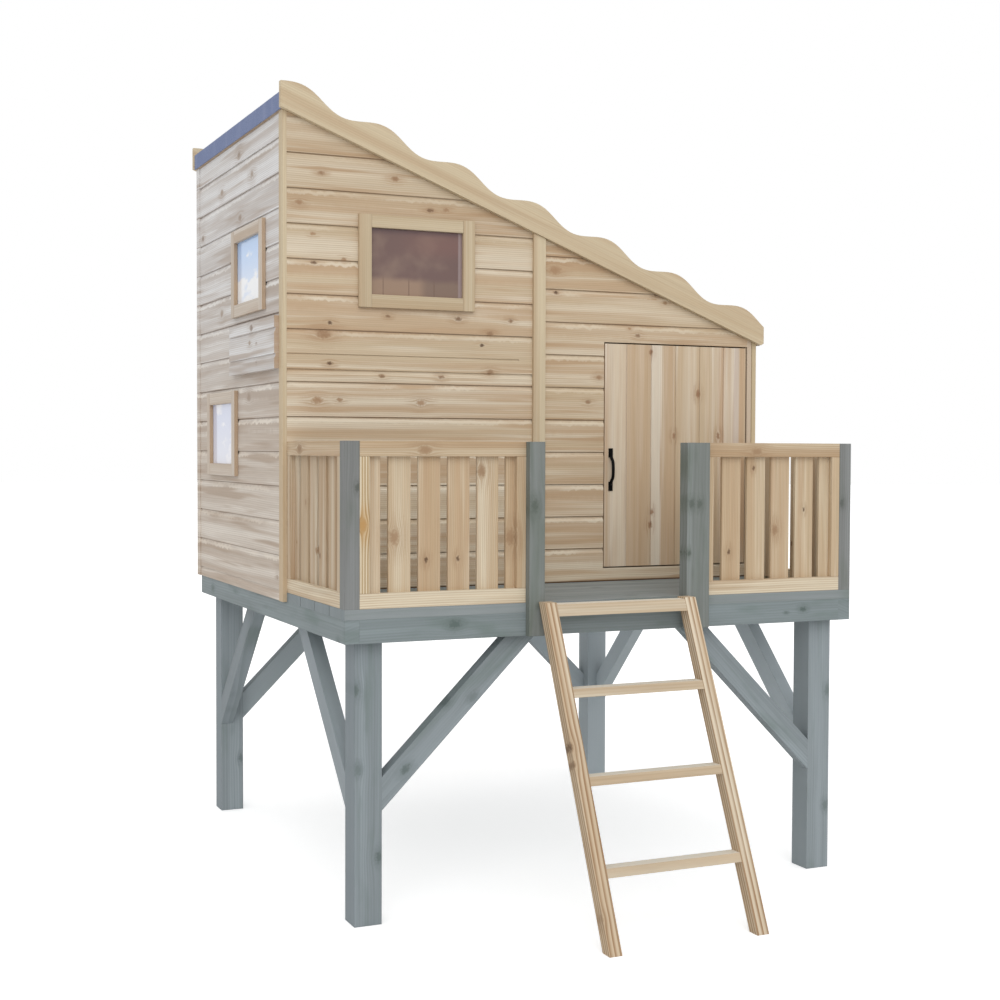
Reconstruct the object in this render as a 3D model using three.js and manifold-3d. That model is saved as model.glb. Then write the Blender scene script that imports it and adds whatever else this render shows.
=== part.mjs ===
// Stilt playhouse: a timber house on a square platform with braced legs, a railed balcony
// along the front, a sloping ladder and a lean-to roof under felt.
// Millimetres. X runs to the right, Y to the back and Z up. The pieces are laid out from the
// platform's front left corner at ground level. The finished group is then moved, so that its
// origin is on the ground, in the middle of the footprint.
import * as THREE from 'three';
import { mergeVertices } from 'three/addons/utils/BufferGeometryUtils.js';
import Module from 'manifold-3d';

const wasm = await Module();
wasm.setup();

// Platform
const platformWidth = 1770;
const platformDepth = 1770;
const deckUnderside = 910;
const deckThickness = 30;
const deckBoardCount = 4;
const deckBoardGap = 4;
const balconyDepth = 586;
const legSide = 85;
const beamThickness = 45;
const beamHeight = 70;
const braceThickness = 45;
const braceWidth = 70;
const braceReach = 502;

// Balcony posts and rail panels
const railHeight = 487;
const cornerPostSide = 45;
const ladderPostDepth = 45;
const ladderPostProud = 25;
const leftLadderPostStart = 575;
const leftLadderPostWidth = 51;
const ladderGap = 498;
const rightLadderPostWidth = 82;
const panelDepth = 20;
const panelRailWidth = 45;
const panelStileWidth = 31;
const slatWidth = 70;
const slatThickness = 12;
const slatPitch = 94;
const slatEndInset = 10;
const slatLap = 2;

// Ladder
const ladderInset = 31;
const ladderWidth = 524;
const ladderTopAboveDeck = 4;
const ladderRun = 422;
const stringerWidth = 40;
const stringerDepth = 42.7;
const rungCount = 4;
const rungDepth = 40;
const rungHeight = 25;
const topRungHeight = 35;
const firstRungTop = 219;
const topRungBelowDeck = 1;

// Walls
const claddingThickness = 10;
const framingDepth = 28;
const studWidth = 45;
const boardPitch = 112.5;
const firstJointAboveBottom = 36;
const jointDepth = 5;
const jointHeight = 16;
const scoopDepth = 3.5;
const scoopHeight = 7;
const bandJointHeight = 3;
const bandFootAboveJoint = 40;
const bandMiddleAboveJoint = 87;
const bandMiddleBeforeBatten = 50;
const upperBoardDrop = 55.5;
const bandJointIndex = 6;
const upperJointIndex = 8;
const roofRise = 683;
const lintelDepth = 15.5;
const battenLeftOfMiddle = 15;
const battenWidth = 45;
const battenThickness = 12;
const trimWidth = 42;
const trimThickness = 14;
const endStripJoint = 18;

// Windows and the cover board between them
const windowWidth = 410;
const windowHeight = 304;
const windowMember = 43;
const windowThickness = 14;
const windowBelowRoof = 59;
const frontWindowStart = 240;
const upperWindowStart = 798;
const lowerWindowStart = 1165;
const paneThickness = 4;
const paneLap = 8;
const coverLength = 582;
const coverHeight = 171;
const coverThickness = 20;
const coverBelowWindow = 33;
const coverAboveWindow = 53;
const coverJointAboveFoot = 49;
const coverJointPitch = 84;

// Door, handle and hinges
const doorWidth = 583;
const doorHeight = 786;
const doorSill = 51;
const doorGap = 4.5;
const doorHingeGap = 5;
const doorRecess = 2;
const doorBoardThickness = 12;
const doorBoardPitch = 100;
const doorFirstBoard = 85;
const doorJointWidth = 3;
const doorJointDepth = 2;
const ledgeThickness = 20;
const ledgeHeight = 70;
const ledgeEndGap = 20;
const ledgeCount = 3;
const handleLength = 150;
const handleAboveDoorFoot = 268;
const handleInset = 24;
const handlePadWidth = 16;
const handlePadHeight = 32;
const handlePadThickness = 3;
const handleBarRadius = 5.5;
const handleBarSink = 1.5;
const handleReach = 21;
const handleBarSteps = 30;
const handleBarArcs = 6;
const hingePlateWidth = 28;
const hingePlateThickness = 2;
const hingeHeight = 60;
const knuckleRadius = 4;
const knuckleClearance = 0.5;
const pinRadius = 2;
const pinClearance = 0.4;
const knuckleSides = 20;
const pinSides = 16;

// Roof
const roofThickness = 50;
const roofBoardThickness = 15;
const rafterWidth = 45;
const rafterBays = 3;
const feltThickness = 3;
const feltSetback = 4;
const bargeThickness = 20;
const bargeOverLeft = 25;
const bargeOverRight = 30;
const bargeHeight = 76;
const bargeWaveHeight = 19;
const bargeWaveLength = 297;
const bargeFirstCrest = 45;
const bargeCorner = 10;
const bargeSteps = 150;
const bargeFitRounds = 30;

// Clearance between sloping or turned faces that meet, and the overrun of every cut
const contactGap = 0.3;
const overrun = 20;

// Levels and faces that several pieces share
const deckTop = deckUnderside + deckThickness;
const beamUnderside = deckUnderside - beamHeight;
const braceFoot = beamUnderside - braceReach;
const rungPitch = (deckTop - topRungBelowDeck - firstRungTop) / (rungCount - 1);
const railTop = deckTop + railHeight;
const houseFront = balconyDepth;
const framingFront = houseFront + claddingThickness;
const framingInside = framingFront + framingDepth;
const rightInside = platformWidth - framingDepth;
const backInside = platformDepth - framingDepth;
const battenStart = platformWidth / 2 - battenLeftOfMiddle;
const seam = battenStart + battenWidth / 2;
const doorFoot = deckTop + doorSill;
const doorTop = doorFoot + doorHeight;
const lowWallTop = doorTop + doorGap + lintelDepth;
const highWallTop = lowWallTop + roofRise;
const roofSlope = roofRise / platformWidth;
const roofAngle = Math.atan(roofSlope);
const roofLine = (x) => highWallTop - roofSlope * x;
const upperWindowFoot = roofLine(frontWindowStart + windowWidth) - windowBelowRoof - windowHeight;
const coverTop = upperWindowFoot - coverBelowWindow;
const coverFoot = coverTop - coverHeight;
const lowerWindowFoot = coverFoot - coverAboveWindow - windowHeight;
const rightLadderPostStart = leftLadderPostStart + leftLadderPostWidth + ladderGap;
const rightPanelStart = rightLadderPostStart + rightLadderPostWidth;

const paint = new THREE.MeshStandardMaterial({ color: 0x808a90, roughness: 0.75 });
const pine = new THREE.MeshStandardMaterial({ color: 0xcdb08a, roughness: 0.7 });
const pineTrim = new THREE.MeshStandardMaterial({ color: 0xd2b88c, roughness: 0.7 });
const felt = new THREE.MeshStandardMaterial({ color: 0x7084a5, roughness: 0.95 });
const clearSheet = new THREE.MeshStandardMaterial({ color: 0xb9d2ea, roughness: 0.1 });
const blackIron = new THREE.MeshStandardMaterial({ color: 0x111111, roughness: 0.5, metalness: 0.6 });
const zinc = new THREE.MeshStandardMaterial({ color: 0xa9acb0, roughness: 0.4, metalness: 0.9 });

const playhouse = new THREE.Group();

function addPiece(name, geometry, material, position = [0, 0, 0], turn = 0) {
  const mesh = new THREE.Mesh(geometry, material);
  mesh.name = name;
  mesh.position.set(...position);
  mesh.rotation.z = turn;
  playhouse.add(mesh);
  return mesh;
}

// Solid shapes

function box(spanX, spanY, spanZ) {
  const spans = [spanX, spanY, spanZ];
  const sizes = spans.map(([from, to]) => to - from);
  const centres = spans.map(([from, to]) => (from + to) / 2);
  return new THREE.BoxGeometry(...sizes).translate(...centres);
}

function outline(points) {
  return new THREE.Shape(points.map(([across, up]) => new THREE.Vector2(across, up)));
}

function extrude(shape, depth) {
  return new THREE.ExtrudeGeometry(shape, { depth, bevelEnabled: false });
}

// A prism whose outline lies in X and Z, running along Y
function prismAlongY(points, [from, to]) {
  const shape = points instanceof THREE.Shape ? points : outline(points);
  return extrude(shape, to - from).rotateX(Math.PI / 2).translate(0, to, 0);
}

// A prism whose outline lies in Y and Z, running along X
function prismAlongX(points, [from, to]) {
  const shape = points instanceof THREE.Shape ? points : outline(points);
  const turn = new THREE.Matrix4().makeBasis(
    new THREE.Vector3(0, 1, 0),
    new THREE.Vector3(0, 0, 1),
    new THREE.Vector3(1, 0, 0),
  );
  return extrude(shape, to - from).applyMatrix4(turn).translate(from, 0, 0);
}

function upright(radius, [from, to], sides) {
  return new THREE.CylinderGeometry(radius, radius, to - from, sides)
    .rotateX(Math.PI / 2)
    .translate(0, 0, (from + to) / 2);
}

// Joins and cuts

function toSolid(geometry) {
  const bare = geometry.clone();
  bare.deleteAttribute('normal');
  bare.deleteAttribute('uv');
  const merged = mergeVertices(bare);
  return new wasm.Manifold(new wasm.Mesh({
    numProp: 3,
    vertProperties: new Float32Array(merged.attributes.position.array),
    triVerts: new Uint32Array(merged.index.array),
  }));
}

function toGeometry(solid) {
  const mesh = solid.getMesh();
  const geometry = new THREE.BufferGeometry();
  geometry.setAttribute('position', new THREE.BufferAttribute(mesh.vertProperties, mesh.numProp));
  geometry.setIndex(new THREE.BufferAttribute(mesh.triVerts, 1));
  geometry.computeVertexNormals();
  return geometry;
}

function join(...geometries) {
  return toGeometry(geometries.map(toSolid).reduce((whole, piece) => whole.add(piece)));
}

function cut(geometry, ...tools) {
  return toGeometry(tools.map(toSolid).reduce((rest, tool) => rest.subtract(tool), toSolid(geometry)));
}

// Platform: legs, beams, joist, braces and floor

function addLegsAndBeams() {
  const ends = { front: [beamThickness, 1], back: [platformDepth - beamThickness, -1] };
  const sides = { left: [beamThickness, 1], right: [platformWidth - beamThickness, -1] };
  const leg = box([-legSide / 2, legSide / 2], [-legSide / 2, legSide / 2], [0, deckUnderside]);
  for (const [end, [y, inY]] of Object.entries(ends)) {
    for (const [side, [x, inX]] of Object.entries(sides)) {
      const centre = [x + inX * legSide / 2, y + inY * legSide / 2, 0];
      addPiece(`leg_${end}_${side}`, leg, paint, centre);
    }
  }
  const level = [beamUnderside, deckUnderside];
  const between = [beamThickness, platformWidth - beamThickness];
  const sideBeam = box([0, beamThickness], [0, platformDepth], level);
  const crossBeam = box(between, [0, beamThickness], level);
  const joist = box([-beamThickness / 2, beamThickness / 2],
    [beamThickness, platformDepth - beamThickness], level);
  addPiece('beam_left', sideBeam, paint);
  addPiece('beam_right', sideBeam, paint, [platformWidth - beamThickness, 0, 0]);
  addPiece('beam_front', crossBeam, paint);
  addPiece('beam_back', crossBeam, paint, [0, platformDepth - beamThickness, 0]);
  addPiece('joist_middle', joist, paint, [platformWidth / 2, 0, 0]);
}

// A brace leaves its leg at 45 degrees. Its own X runs from the leg's face into the platform.
function braceShape() {
  const cutLength = braceWidth * Math.SQRT2;
  const reach = deckUnderside - braceFoot;
  const points = [
    [0, braceFoot],
    [reach, deckUnderside],
    [reach - cutLength, deckUnderside],
    [0, braceFoot + cutLength],
  ];
  return prismAlongY(points, [-braceThickness / 2, braceThickness / 2]);
}

function addBraces() {
  const brace = braceShape();
  const legFace = beamThickness + legSide;
  const line = beamThickness + braceThickness / 2;
  const lines = { front: line, back: platformDepth - line };
  const columns = { left: line, right: platformWidth - line };
  for (const [end, y] of Object.entries(lines)) {
    addPiece(`brace_${end}_left`, brace, paint, [legFace, y, 0]);
    addPiece(`brace_${end}_right`, brace, paint, [platformWidth - legFace, y, 0], Math.PI);
  }
  for (const [side, x] of Object.entries(columns)) {
    addPiece(`brace_${side}_front`, brace, paint, [x, legFace, 0], Math.PI / 2);
    addPiece(`brace_${side}_back`, brace, paint, [x, platformDepth - legFace, 0], -Math.PI / 2);
  }
}

function addFloor() {
  const level = [deckUnderside, deckTop];
  const boardDepth = (balconyDepth - deckBoardCount * deckBoardGap) / deckBoardCount;
  const board = box([0, platformWidth], [0, boardDepth], level);
  for (let i = 0; i < deckBoardCount; i += 1) {
    addPiece(`deck_board_${i + 1}`, board, paint, [0, i * (boardDepth + deckBoardGap), 0]);
  }
  addPiece('house_floor', box([0, platformWidth], [balconyDepth, platformDepth], level), paint);
}

// Balcony: posts and rail panels

// A ladder post stands proud of the platform: below the deck top it is notched round the edge.
function ladderPost(width) {
  const points = [
    [-ladderPostProud, beamUnderside],
    [0, beamUnderside],
    [0, deckTop],
    [ladderPostDepth - ladderPostProud, deckTop],
    [ladderPostDepth - ladderPostProud, railTop],
    [-ladderPostProud, railTop],
  ];
  return prismAlongX(points, [0, width]);
}

function addPosts() {
  const corner = box([0, cornerPostSide], [0, cornerPostSide], [deckTop, railTop]);
  addPiece('post_front_left', corner, paint);
  addPiece('post_front_right', corner, paint, [platformWidth - cornerPostSide, 0, 0]);
  addPiece('post_ladder_left', ladderPost(leftLadderPostWidth), paint, [leftLadderPostStart, 0, 0]);
  addPiece('post_ladder_right', ladderPost(rightLadderPostWidth), paint, [rightLadderPostStart, 0, 0]);
}

// A rail panel runs along its own X with its outer face at Y zero. The slats are let into the
// back of the rails and stiles, at one pitch from the first one.
function railPanel(length, firstSlat) {
  const front = [0, panelDepth];
  const rails = [
    box([0, length], front, [0, panelRailWidth]),
    box([0, length], front, [railHeight - panelRailWidth, railHeight]),
    box([0, panelStileWidth], front, [0, railHeight]),
    box([length - panelStileWidth, length], front, [0, railHeight]),
  ];
  const slats = [];
  for (let start = firstSlat; start < length; start += slatPitch) {
    slats.push(box([start, Math.min(start + slatWidth, length)],
      [panelDepth - slatLap, panelDepth - slatLap + slatThickness],
      [slatEndInset, railHeight - slatEndInset]));
  }
  return join(...rails, ...slats);
}

function addRailPanels() {
  const leftLength = leftLadderPostStart - cornerPostSide;
  const rightLength = platformWidth - cornerPostSide - rightPanelStart;
  const sideLength = balconyDepth - cornerPostSide;
  const rightFirstSlat = (rightLength - slatWidth) % slatPitch;
  const lastSlat = (sideLength - slatWidth) % slatPitch;
  addPiece('rail_panel_front_left', railPanel(leftLength, 0), pine, [cornerPostSide, 0, deckTop]);
  addPiece('rail_panel_front_right', railPanel(rightLength, rightFirstSlat), pine,
    [rightPanelStart, 0, deckTop]);
  addPiece('rail_panel_left', railPanel(sideLength, lastSlat), pine,
    [0, balconyDepth, deckTop], -Math.PI / 2);
  addPiece('rail_panel_right', railPanel(sideLength, 0), pine,
    [platformWidth, cornerPostSide, deckTop], Math.PI / 2);
}

// Ladder: the stringers and rungs share one sloping outline, cut level at its ends

function ladderBar(depth, [foot, top]) {
  const ladderTop = deckTop + ladderTopAboveDeck;
  const topFront = -ladderPostProud - contactGap - stringerDepth;
  const frontAt = (z) => topFront - ladderRun * (ladderTop - z) / ladderTop;
  return [
    [frontAt(foot), foot],
    [frontAt(foot) + depth, foot],
    [frontAt(top) + depth, top],
    [frontAt(top), top],
  ];
}

function addLadder() {
  const start = leftLadderPostStart + ladderInset;
  const end = start + ladderWidth;
  const stringer = prismAlongX(ladderBar(stringerDepth, [0, deckTop + ladderTopAboveDeck]),
    [0, stringerWidth]);
  addPiece('ladder_stringer_left', stringer, pine, [start, 0, 0]);
  addPiece('ladder_stringer_right', stringer, pine, [end - stringerWidth, 0, 0]);
  for (let i = 0; i < rungCount; i += 1) {
    const top = firstRungTop + i * rungPitch;
    const height = i === rungCount - 1 ? topRungHeight : rungHeight;
    const rung = prismAlongX(ladderBar(rungDepth, [top - height, top]),
      [0, ladderWidth - 2 * stringerWidth]);
    addPiece(`ladder_rung_${i + 1}`, rung, pine, [start + stringerWidth, 0, 0]);
  }
}

// Walls: boards with a rebated joint at each height, on framing, cut off under the roof

const jointAt = (index) => deckUnderside + firstJointAboveBottom + index * boardPitch;

function jointsBetween(foot, top, firstIndex = 0, drop = 0) {
  const heights = [];
  for (let index = firstIndex; jointAt(index) - drop < top - jointHeight; index += 1) {
    if (jointAt(index) - drop > foot + 2 * jointHeight) heights.push(jointAt(index) - drop);
  }
  return heights;
}

// Section of the boards: the top of each board is scooped back under the lip of the next one
function boardSection(outerFace, innerFace, foot, top, joints) {
  const inward = Math.sign(innerFace - outerFace);
  const points = [[innerFace, foot], [outerFace, foot]];
  for (const height of joints) {
    points.push([outerFace, height - jointHeight]);
    points.push([outerFace + inward * scoopDepth, height - jointHeight + scoopHeight]);
    points.push([outerFace + inward * jointDepth, height]);
    points.push([outerFace, height]);
  }
  points.push([outerFace, top], [innerFace, top]);
  return points;
}

function cutUnderRoof(geometry) {
  const left = -bargeOverLeft - overrun;
  const right = platformWidth + bargeOverRight + overrun;
  const above = roofLine(left) + overrun;
  const points = [
    [left, roofLine(left) - contactGap],
    [right, roofLine(right) - contactGap],
    [right, above],
    [left, above],
  ];
  return cut(geometry, prismAlongY(points, [houseFront - overrun, platformDepth + overrun]));
}

// A ring of studs round a rectangle, as a shape with a hole
function studRing([left, right], [foot, topLeft, topRight]) {
  const slope = (topRight - topLeft) / (right - left);
  const drop = studWidth * Math.hypot(1, slope);
  const innerTop = (at) => topLeft + slope * (at - left) - drop;
  const ring = outline([[left, foot], [right, foot], [right, topRight], [left, topLeft]]);
  ring.holes.push(new THREE.Path([
    new THREE.Vector2(left + studWidth, foot + studWidth),
    new THREE.Vector2(left + studWidth, innerTop(left + studWidth)),
    new THREE.Vector2(right - studWidth, innerTop(right - studWidth)),
    new THREE.Vector2(right - studWidth, foot + studWidth),
  ]));
  return ring;
}

// The hole behind a window's frame, with studs round it
function windowHole(start, foot) {
  const across = [start + windowMember, start + windowWidth - windowMember];
  const up = [foot + windowMember, foot + windowHeight - windowMember];
  const grow = (span, by) => [span[0] - by, span[1] + by];
  return {
    across,
    up,
    pane: [grow(across, paneLap), grow(up, paneLap)],
    rebate: [grow(across, paneLap + contactGap), grow(up, paneLap + contactGap)],
    studs: [grow(across, studWidth), grow(up, studWidth)],
  };
}

const frontWindow = windowHole(frontWindowStart, upperWindowFoot);
const upperWindow = windowHole(upperWindowStart, upperWindowFoot);
const lowerWindow = windowHole(lowerWindowStart, lowerWindowFoot);

function addSideWalls() {
  const boardSpan = [houseFront + trimWidth, platformDepth + claddingThickness - trimWidth];
  const studSpan = [framingInside, backInside];
  const midRail = [coverFoot, coverFoot + studWidth];
  const joints = jointsBetween(deckUnderside, highWallTop);
  const leftSection = boardSection(-claddingThickness, 0, deckUnderside, highWallTop + overrun, joints);
  const leftFrameTop = roofLine(framingDepth) - contactGap;
  const leftRing = studRing(studSpan, [deckTop, leftFrameTop, leftFrameTop]);
  const leftBody = join(
    prismAlongY(leftSection, boardSpan),
    box([-trimThickness, 0], [boardSpan[1], platformDepth + claddingThickness],
      [deckUnderside, highWallTop + overrun]),
    prismAlongX(leftRing, [0, framingDepth]),
    box([0, framingDepth], studSpan, midRail),
    box([0, framingDepth], ...upperWindow.studs),
    box([0, framingDepth], ...lowerWindow.studs),
  );
  const leftHoles = [upperWindow, lowerWindow].flatMap((hole) => [
    box([-trimThickness, overrun + framingDepth], hole.across, hole.up),
    box([-trimThickness, 0], ...hole.rebate),
  ]);
  addPiece('wall_left', cutUnderRoof(cut(leftBody, ...leftHoles)), pine);

  const outer = platformWidth + claddingThickness;
  const rightTop = roofLine(platformWidth);
  const rightSection = boardSection(outer, platformWidth, deckUnderside, rightTop,
    jointsBetween(deckUnderside, rightTop));
  const rightFrameTop = roofLine(platformWidth) - contactGap;
  const rightRing = studRing(studSpan, [deckTop, rightFrameTop, rightFrameTop]);
  const rightBody = join(
    prismAlongY(rightSection, [framingFront, platformDepth + claddingThickness]),
    prismAlongX(rightRing, [rightInside, platformWidth]),
  );
  addPiece('wall_right', cutUnderRoof(rightBody), pine);
}

// Boards of a wall along X, from their outer face at one Y to the framing at another
function crossBoards(spanX, [outerY, innerY], foot, joints) {
  const section = boardSection(outerY, innerY, foot, highWallTop + overrun, joints);
  return prismAlongX(section, spanX);
}

function slopingRing([left, right], spanY) {
  const tops = [roofLine(left) - contactGap, roofLine(right) - contactGap];
  return prismAlongY(studRing([left, right], [deckTop, ...tops]), spanY);
}

function addBackWall() {
  const boards = crossBoards([0, platformWidth], [platformDepth + claddingThickness, platformDepth],
    deckUnderside, jointsBetween(deckUnderside, highWallTop));
  const framing = slopingRing([0, platformWidth], [backInside, platformDepth]);
  addPiece('wall_back', cutUnderRoof(join(boards, framing)), pine);
}

function addFrontLeftWall() {
  const bandJoint = jointAt(bandJointIndex);
  const joints = [
    ...jointsBetween(deckTop, bandJoint + 2 * jointHeight),
    bandJoint + bandFootAboveJoint,
    ...jointsBetween(deckTop, highWallTop, upperJointIndex, upperBoardDrop),
  ];
  const depths = [framingFront, framingInside];
  const body = join(
    crossBoards([0, seam], [houseFront, framingFront], deckTop, joints),
    slopingRing([0, seam], depths),
    prismAlongY([
      [frontWindow.studs[0][0], frontWindow.studs[1][0]],
      [frontWindow.studs[0][1], frontWindow.studs[1][0]],
      [frontWindow.studs[0][1], frontWindow.studs[1][1]],
      [frontWindow.studs[0][0], frontWindow.studs[1][1]],
    ], depths),
    box([0, seam], depths, [coverFoot, coverFoot + studWidth]),
  );
  const bandMiddle = bandJoint + bandMiddleAboveJoint;
  const holes = [
    box(frontWindow.across, [houseFront - overrun, framingInside + overrun], frontWindow.up),
    box(frontWindow.rebate[0], [houseFront - overrun, framingFront], frontWindow.rebate[1]),
    box([-overrun, battenStart - bandMiddleBeforeBatten],
      [houseFront - overrun, houseFront + bandJointHeight],
      [bandMiddle, bandMiddle + bandJointHeight]),
  ];
  addPiece('wall_front_left', cutUnderRoof(cut(body, ...holes)), pine);
}

function addFrontRightWall() {
  const doorSpan = [rightInside - doorHingeGap - doorWidth - doorGap, rightInside];
  const outer = platformWidth + claddingThickness;
  const depths = [framingFront, framingInside];
  const jambSpan = [doorSpan[0] - studWidth, doorSpan[0]];
  const body = join(
    crossBoards([seam, rightInside], [houseFront, framingFront], deckTop,
      jointsBetween(deckTop, highWallTop)),
    box([rightInside, outer], [houseFront, framingFront], [deckTop, highWallTop]),
    slopingRing([seam, platformWidth], depths),
    box(jambSpan, depths, [deckTop, roofLine(jambSpan[1]) - studWidth]),
    box([doorSpan[0], platformWidth], depths, [deckTop, doorFoot - doorGap]),
    box([rightInside, platformWidth], depths, [deckTop, lowWallTop - lintelDepth]),
    prismAlongY([
      [jambSpan[0], doorTop + doorGap],
      [platformWidth, doorTop + doorGap],
      [platformWidth, roofLine(platformWidth)],
      [jambSpan[0], roofLine(platformWidth) + studWidth],
    ], depths),
  );
  const doorway = box(doorSpan, [houseFront - overrun, framingInside + overrun],
    [doorFoot - doorGap, doorTop + doorGap]);
  const stripJoint = box([rightInside + endStripJoint, rightInside + endStripJoint + bandJointHeight],
    [houseFront - overrun, houseFront + bandJointHeight], [deckTop - overrun, highWallTop]);
  addPiece('wall_front_right', cutUnderRoof(cut(body, doorway, stripJoint)), pine);
}

function addTrims() {
  const battenSpan = [battenStart, battenStart + battenWidth];
  const batten = box(battenSpan, [houseFront - battenThickness, houseFront], [deckTop, highWallTop]);
  addPiece('batten_front', cutUnderRoof(batten), pineTrim);
  const corner = box([-trimThickness, 0], [houseFront, houseFront + trimWidth],
    [deckUnderside, highWallTop + overrun]);
  addPiece('trim_front_left', cutUnderRoof(corner), pineTrim);
}

function addCoverBoard() {
  const joints = [coverFoot + coverJointAboveFoot, coverFoot + coverJointAboveFoot + coverJointPitch];
  const section = boardSection(-claddingThickness - coverThickness, -claddingThickness,
    coverFoot, coverTop, joints);
  const start = houseFront + trimWidth;
  addPiece('cover_board_left', prismAlongY(section, [start, start + coverLength]), pineTrim);
}

// Windows: a frame on the face of the boards with a clear pane behind it

function windowFrame(hole, start, foot) {
  const frame = outline([
    [start, foot],
    [start + windowWidth, foot],
    [start + windowWidth, foot + windowHeight],
    [start, foot + windowHeight],
  ]);
  frame.holes.push(new THREE.Path([
    new THREE.Vector2(hole.across[0], hole.up[0]),
    new THREE.Vector2(hole.across[0], hole.up[1]),
    new THREE.Vector2(hole.across[1], hole.up[1]),
    new THREE.Vector2(hole.across[1], hole.up[0]),
  ]));
  return frame;
}

function addWindows() {
  const front = windowFrame(frontWindow, frontWindowStart, upperWindowFoot);
  addPiece('window_frame_front', prismAlongY(front, [houseFront - windowThickness, houseFront]), pineTrim);
  addPiece('window_pane_front', box(frontWindow.pane[0], [houseFront, houseFront + paneThickness],
    frontWindow.pane[1]), clearSheet);
  const sideWindows = {
    upper: [upperWindow, upperWindowStart, upperWindowFoot],
    lower: [lowerWindow, lowerWindowStart, lowerWindowFoot],
  };
  for (const [level, [hole, start, foot]] of Object.entries(sideWindows)) {
    const frame = windowFrame(hole, start, foot);
    const face = -claddingThickness;
    addPiece(`window_frame_left_${level}`, prismAlongX(frame, [face - windowThickness, face]), pineTrim);
    addPiece(`window_pane_left_${level}`, box([face, face + paneThickness], ...hole.pane), clearSheet);
  }
}

// Door: its hinge axis stands off the leaf's inner face and the side wall by the same amount

const hingeStandOff = knuckleRadius + knuckleClearance;
const doorRight = rightInside - doorHingeGap;
const doorLeft = doorRight - doorWidth;
const doorFront = houseFront + doorRecess;
const doorInside = doorFront + doorBoardThickness + ledgeThickness;
const hingeAxis = [rightInside - hingeStandOff, doorInside + hingeStandOff];
const ledgePitch = (doorHeight - 2 * ledgeEndGap - ledgeHeight) / (ledgeCount - 1);
const ledgeFoot = (index) => ledgeEndGap + index * ledgePitch;

// The leaf's own origin is its lower left corner on its front face
function doorLeaf() {
  const boards = box([0, doorWidth], [0, doorBoardThickness], [0, doorHeight]);
  const grooves = [];
  for (let x = doorFirstBoard; x < doorWidth - doorJointWidth; x += doorBoardPitch) {
    grooves.push(box([x, x + doorJointWidth], [-overrun, doorJointDepth],
      [-overrun, doorHeight + overrun]));
  }
  const ledges = [];
  for (let i = 0; i < ledgeCount; i += 1) {
    ledges.push(box([doorGap, doorWidth], [doorBoardThickness, doorBoardThickness + ledgeThickness],
      [ledgeFoot(i), ledgeFoot(i) + ledgeHeight]));
  }
  return cut(join(boards, ...ledges), ...grooves);
}

// A bowed bar between two flat pads, in front of the plane Y zero, with its foot at Z zero
function pullHandle() {
  const pad = (foot) => box([-handlePadWidth / 2, handlePadWidth / 2], [-handlePadThickness, 0],
    [foot, foot + handlePadHeight]);
  const padMiddle = handlePadHeight / 2;
  const rootY = handleBarSink - handlePadThickness - handleBarRadius;
  const bowY = handleBarRadius - handleReach - handlePadThickness;
  const bow = new THREE.CatmullRomCurve3([
    new THREE.Vector3(0, rootY, padMiddle),
    new THREE.Vector3(0, rootY, handlePadHeight),
    new THREE.Vector3(0, bowY, handlePadHeight + padMiddle),
    new THREE.Vector3(0, bowY, handleLength - handlePadHeight - padMiddle),
    new THREE.Vector3(0, rootY, handleLength - handlePadHeight),
    new THREE.Vector3(0, rootY, handleLength - padMiddle),
  ]);
  const round = new THREE.Shape().absarc(0, 0, handleBarRadius, 0, 2 * Math.PI);
  const bar = new THREE.ExtrudeGeometry(round, {
    steps: handleBarSteps,
    curveSegments: handleBarArcs,
    bevelEnabled: false,
    extrudePath: bow,
  });
  return join(pad(0), pad(handleLength - handlePadHeight), bar);
}

// Both halves of a hinge have their origin on the axis, halfway up. The middle third of the
// knuckle belongs to the door's half, which carries the pin.
const knuckleHalf = hingeHeight / 6;
const hingeSpan = [-hingeHeight / 2, hingeHeight / 2];
const plateStart = knuckleRadius + knuckleClearance;

function fixedHinge() {
  const onWall = [hingeStandOff - hingePlateThickness, hingeStandOff];
  const plate = box(onWall, [plateStart, plateStart + hingePlateWidth], hingeSpan);
  const ends = [
    [hingeSpan[0], -knuckleHalf - knuckleClearance],
    [knuckleHalf + knuckleClearance, hingeSpan[1]],
  ];
  const knuckles = ends.flatMap((span) => [
    upright(knuckleRadius, span, knuckleSides),
    box(onWall, [0, plateStart + hingePlateThickness], span),
  ]);
  const bore = upright(pinRadius + pinClearance, [hingeSpan[0] - overrun, hingeSpan[1] + overrun],
    pinSides);
  return cut(join(plate, ...knuckles), bore);
}

function movingHinge() {
  const onDoor = [-hingeStandOff, -hingeStandOff + hingePlateThickness];
  const middle = [-knuckleHalf, knuckleHalf];
  return join(
    box([-plateStart - hingePlateWidth, -plateStart], onDoor, hingeSpan),
    box([-plateStart - hingePlateThickness, 0], onDoor, middle),
    upright(knuckleRadius, middle, knuckleSides),
    upright(pinRadius, hingeSpan, pinSides),
  );
}

function addDoor() {
  addPiece('door_leaf', doorLeaf(), pine, [doorLeft, doorFront, doorFoot]);
  addPiece('door_handle', pullHandle(), blackIron,
    [doorLeft + handleInset, doorFront, doorFoot + handleAboveDoorFoot]);
  const levels = { bottom: 0, top: ledgeCount - 1 };
  for (const [level, index] of Object.entries(levels)) {
    const place = [...hingeAxis, doorFoot + ledgeFoot(index) + ledgeHeight / 2];
    addPiece(`hinge_plate_${level}`, fixedHinge(), zinc, place);
    addPiece(`hinge_leaf_${level}`, movingHinge(), zinc, place);
  }
}

// Roof: boards on rafters, felt over them, and a scalloped board at each gable

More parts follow.
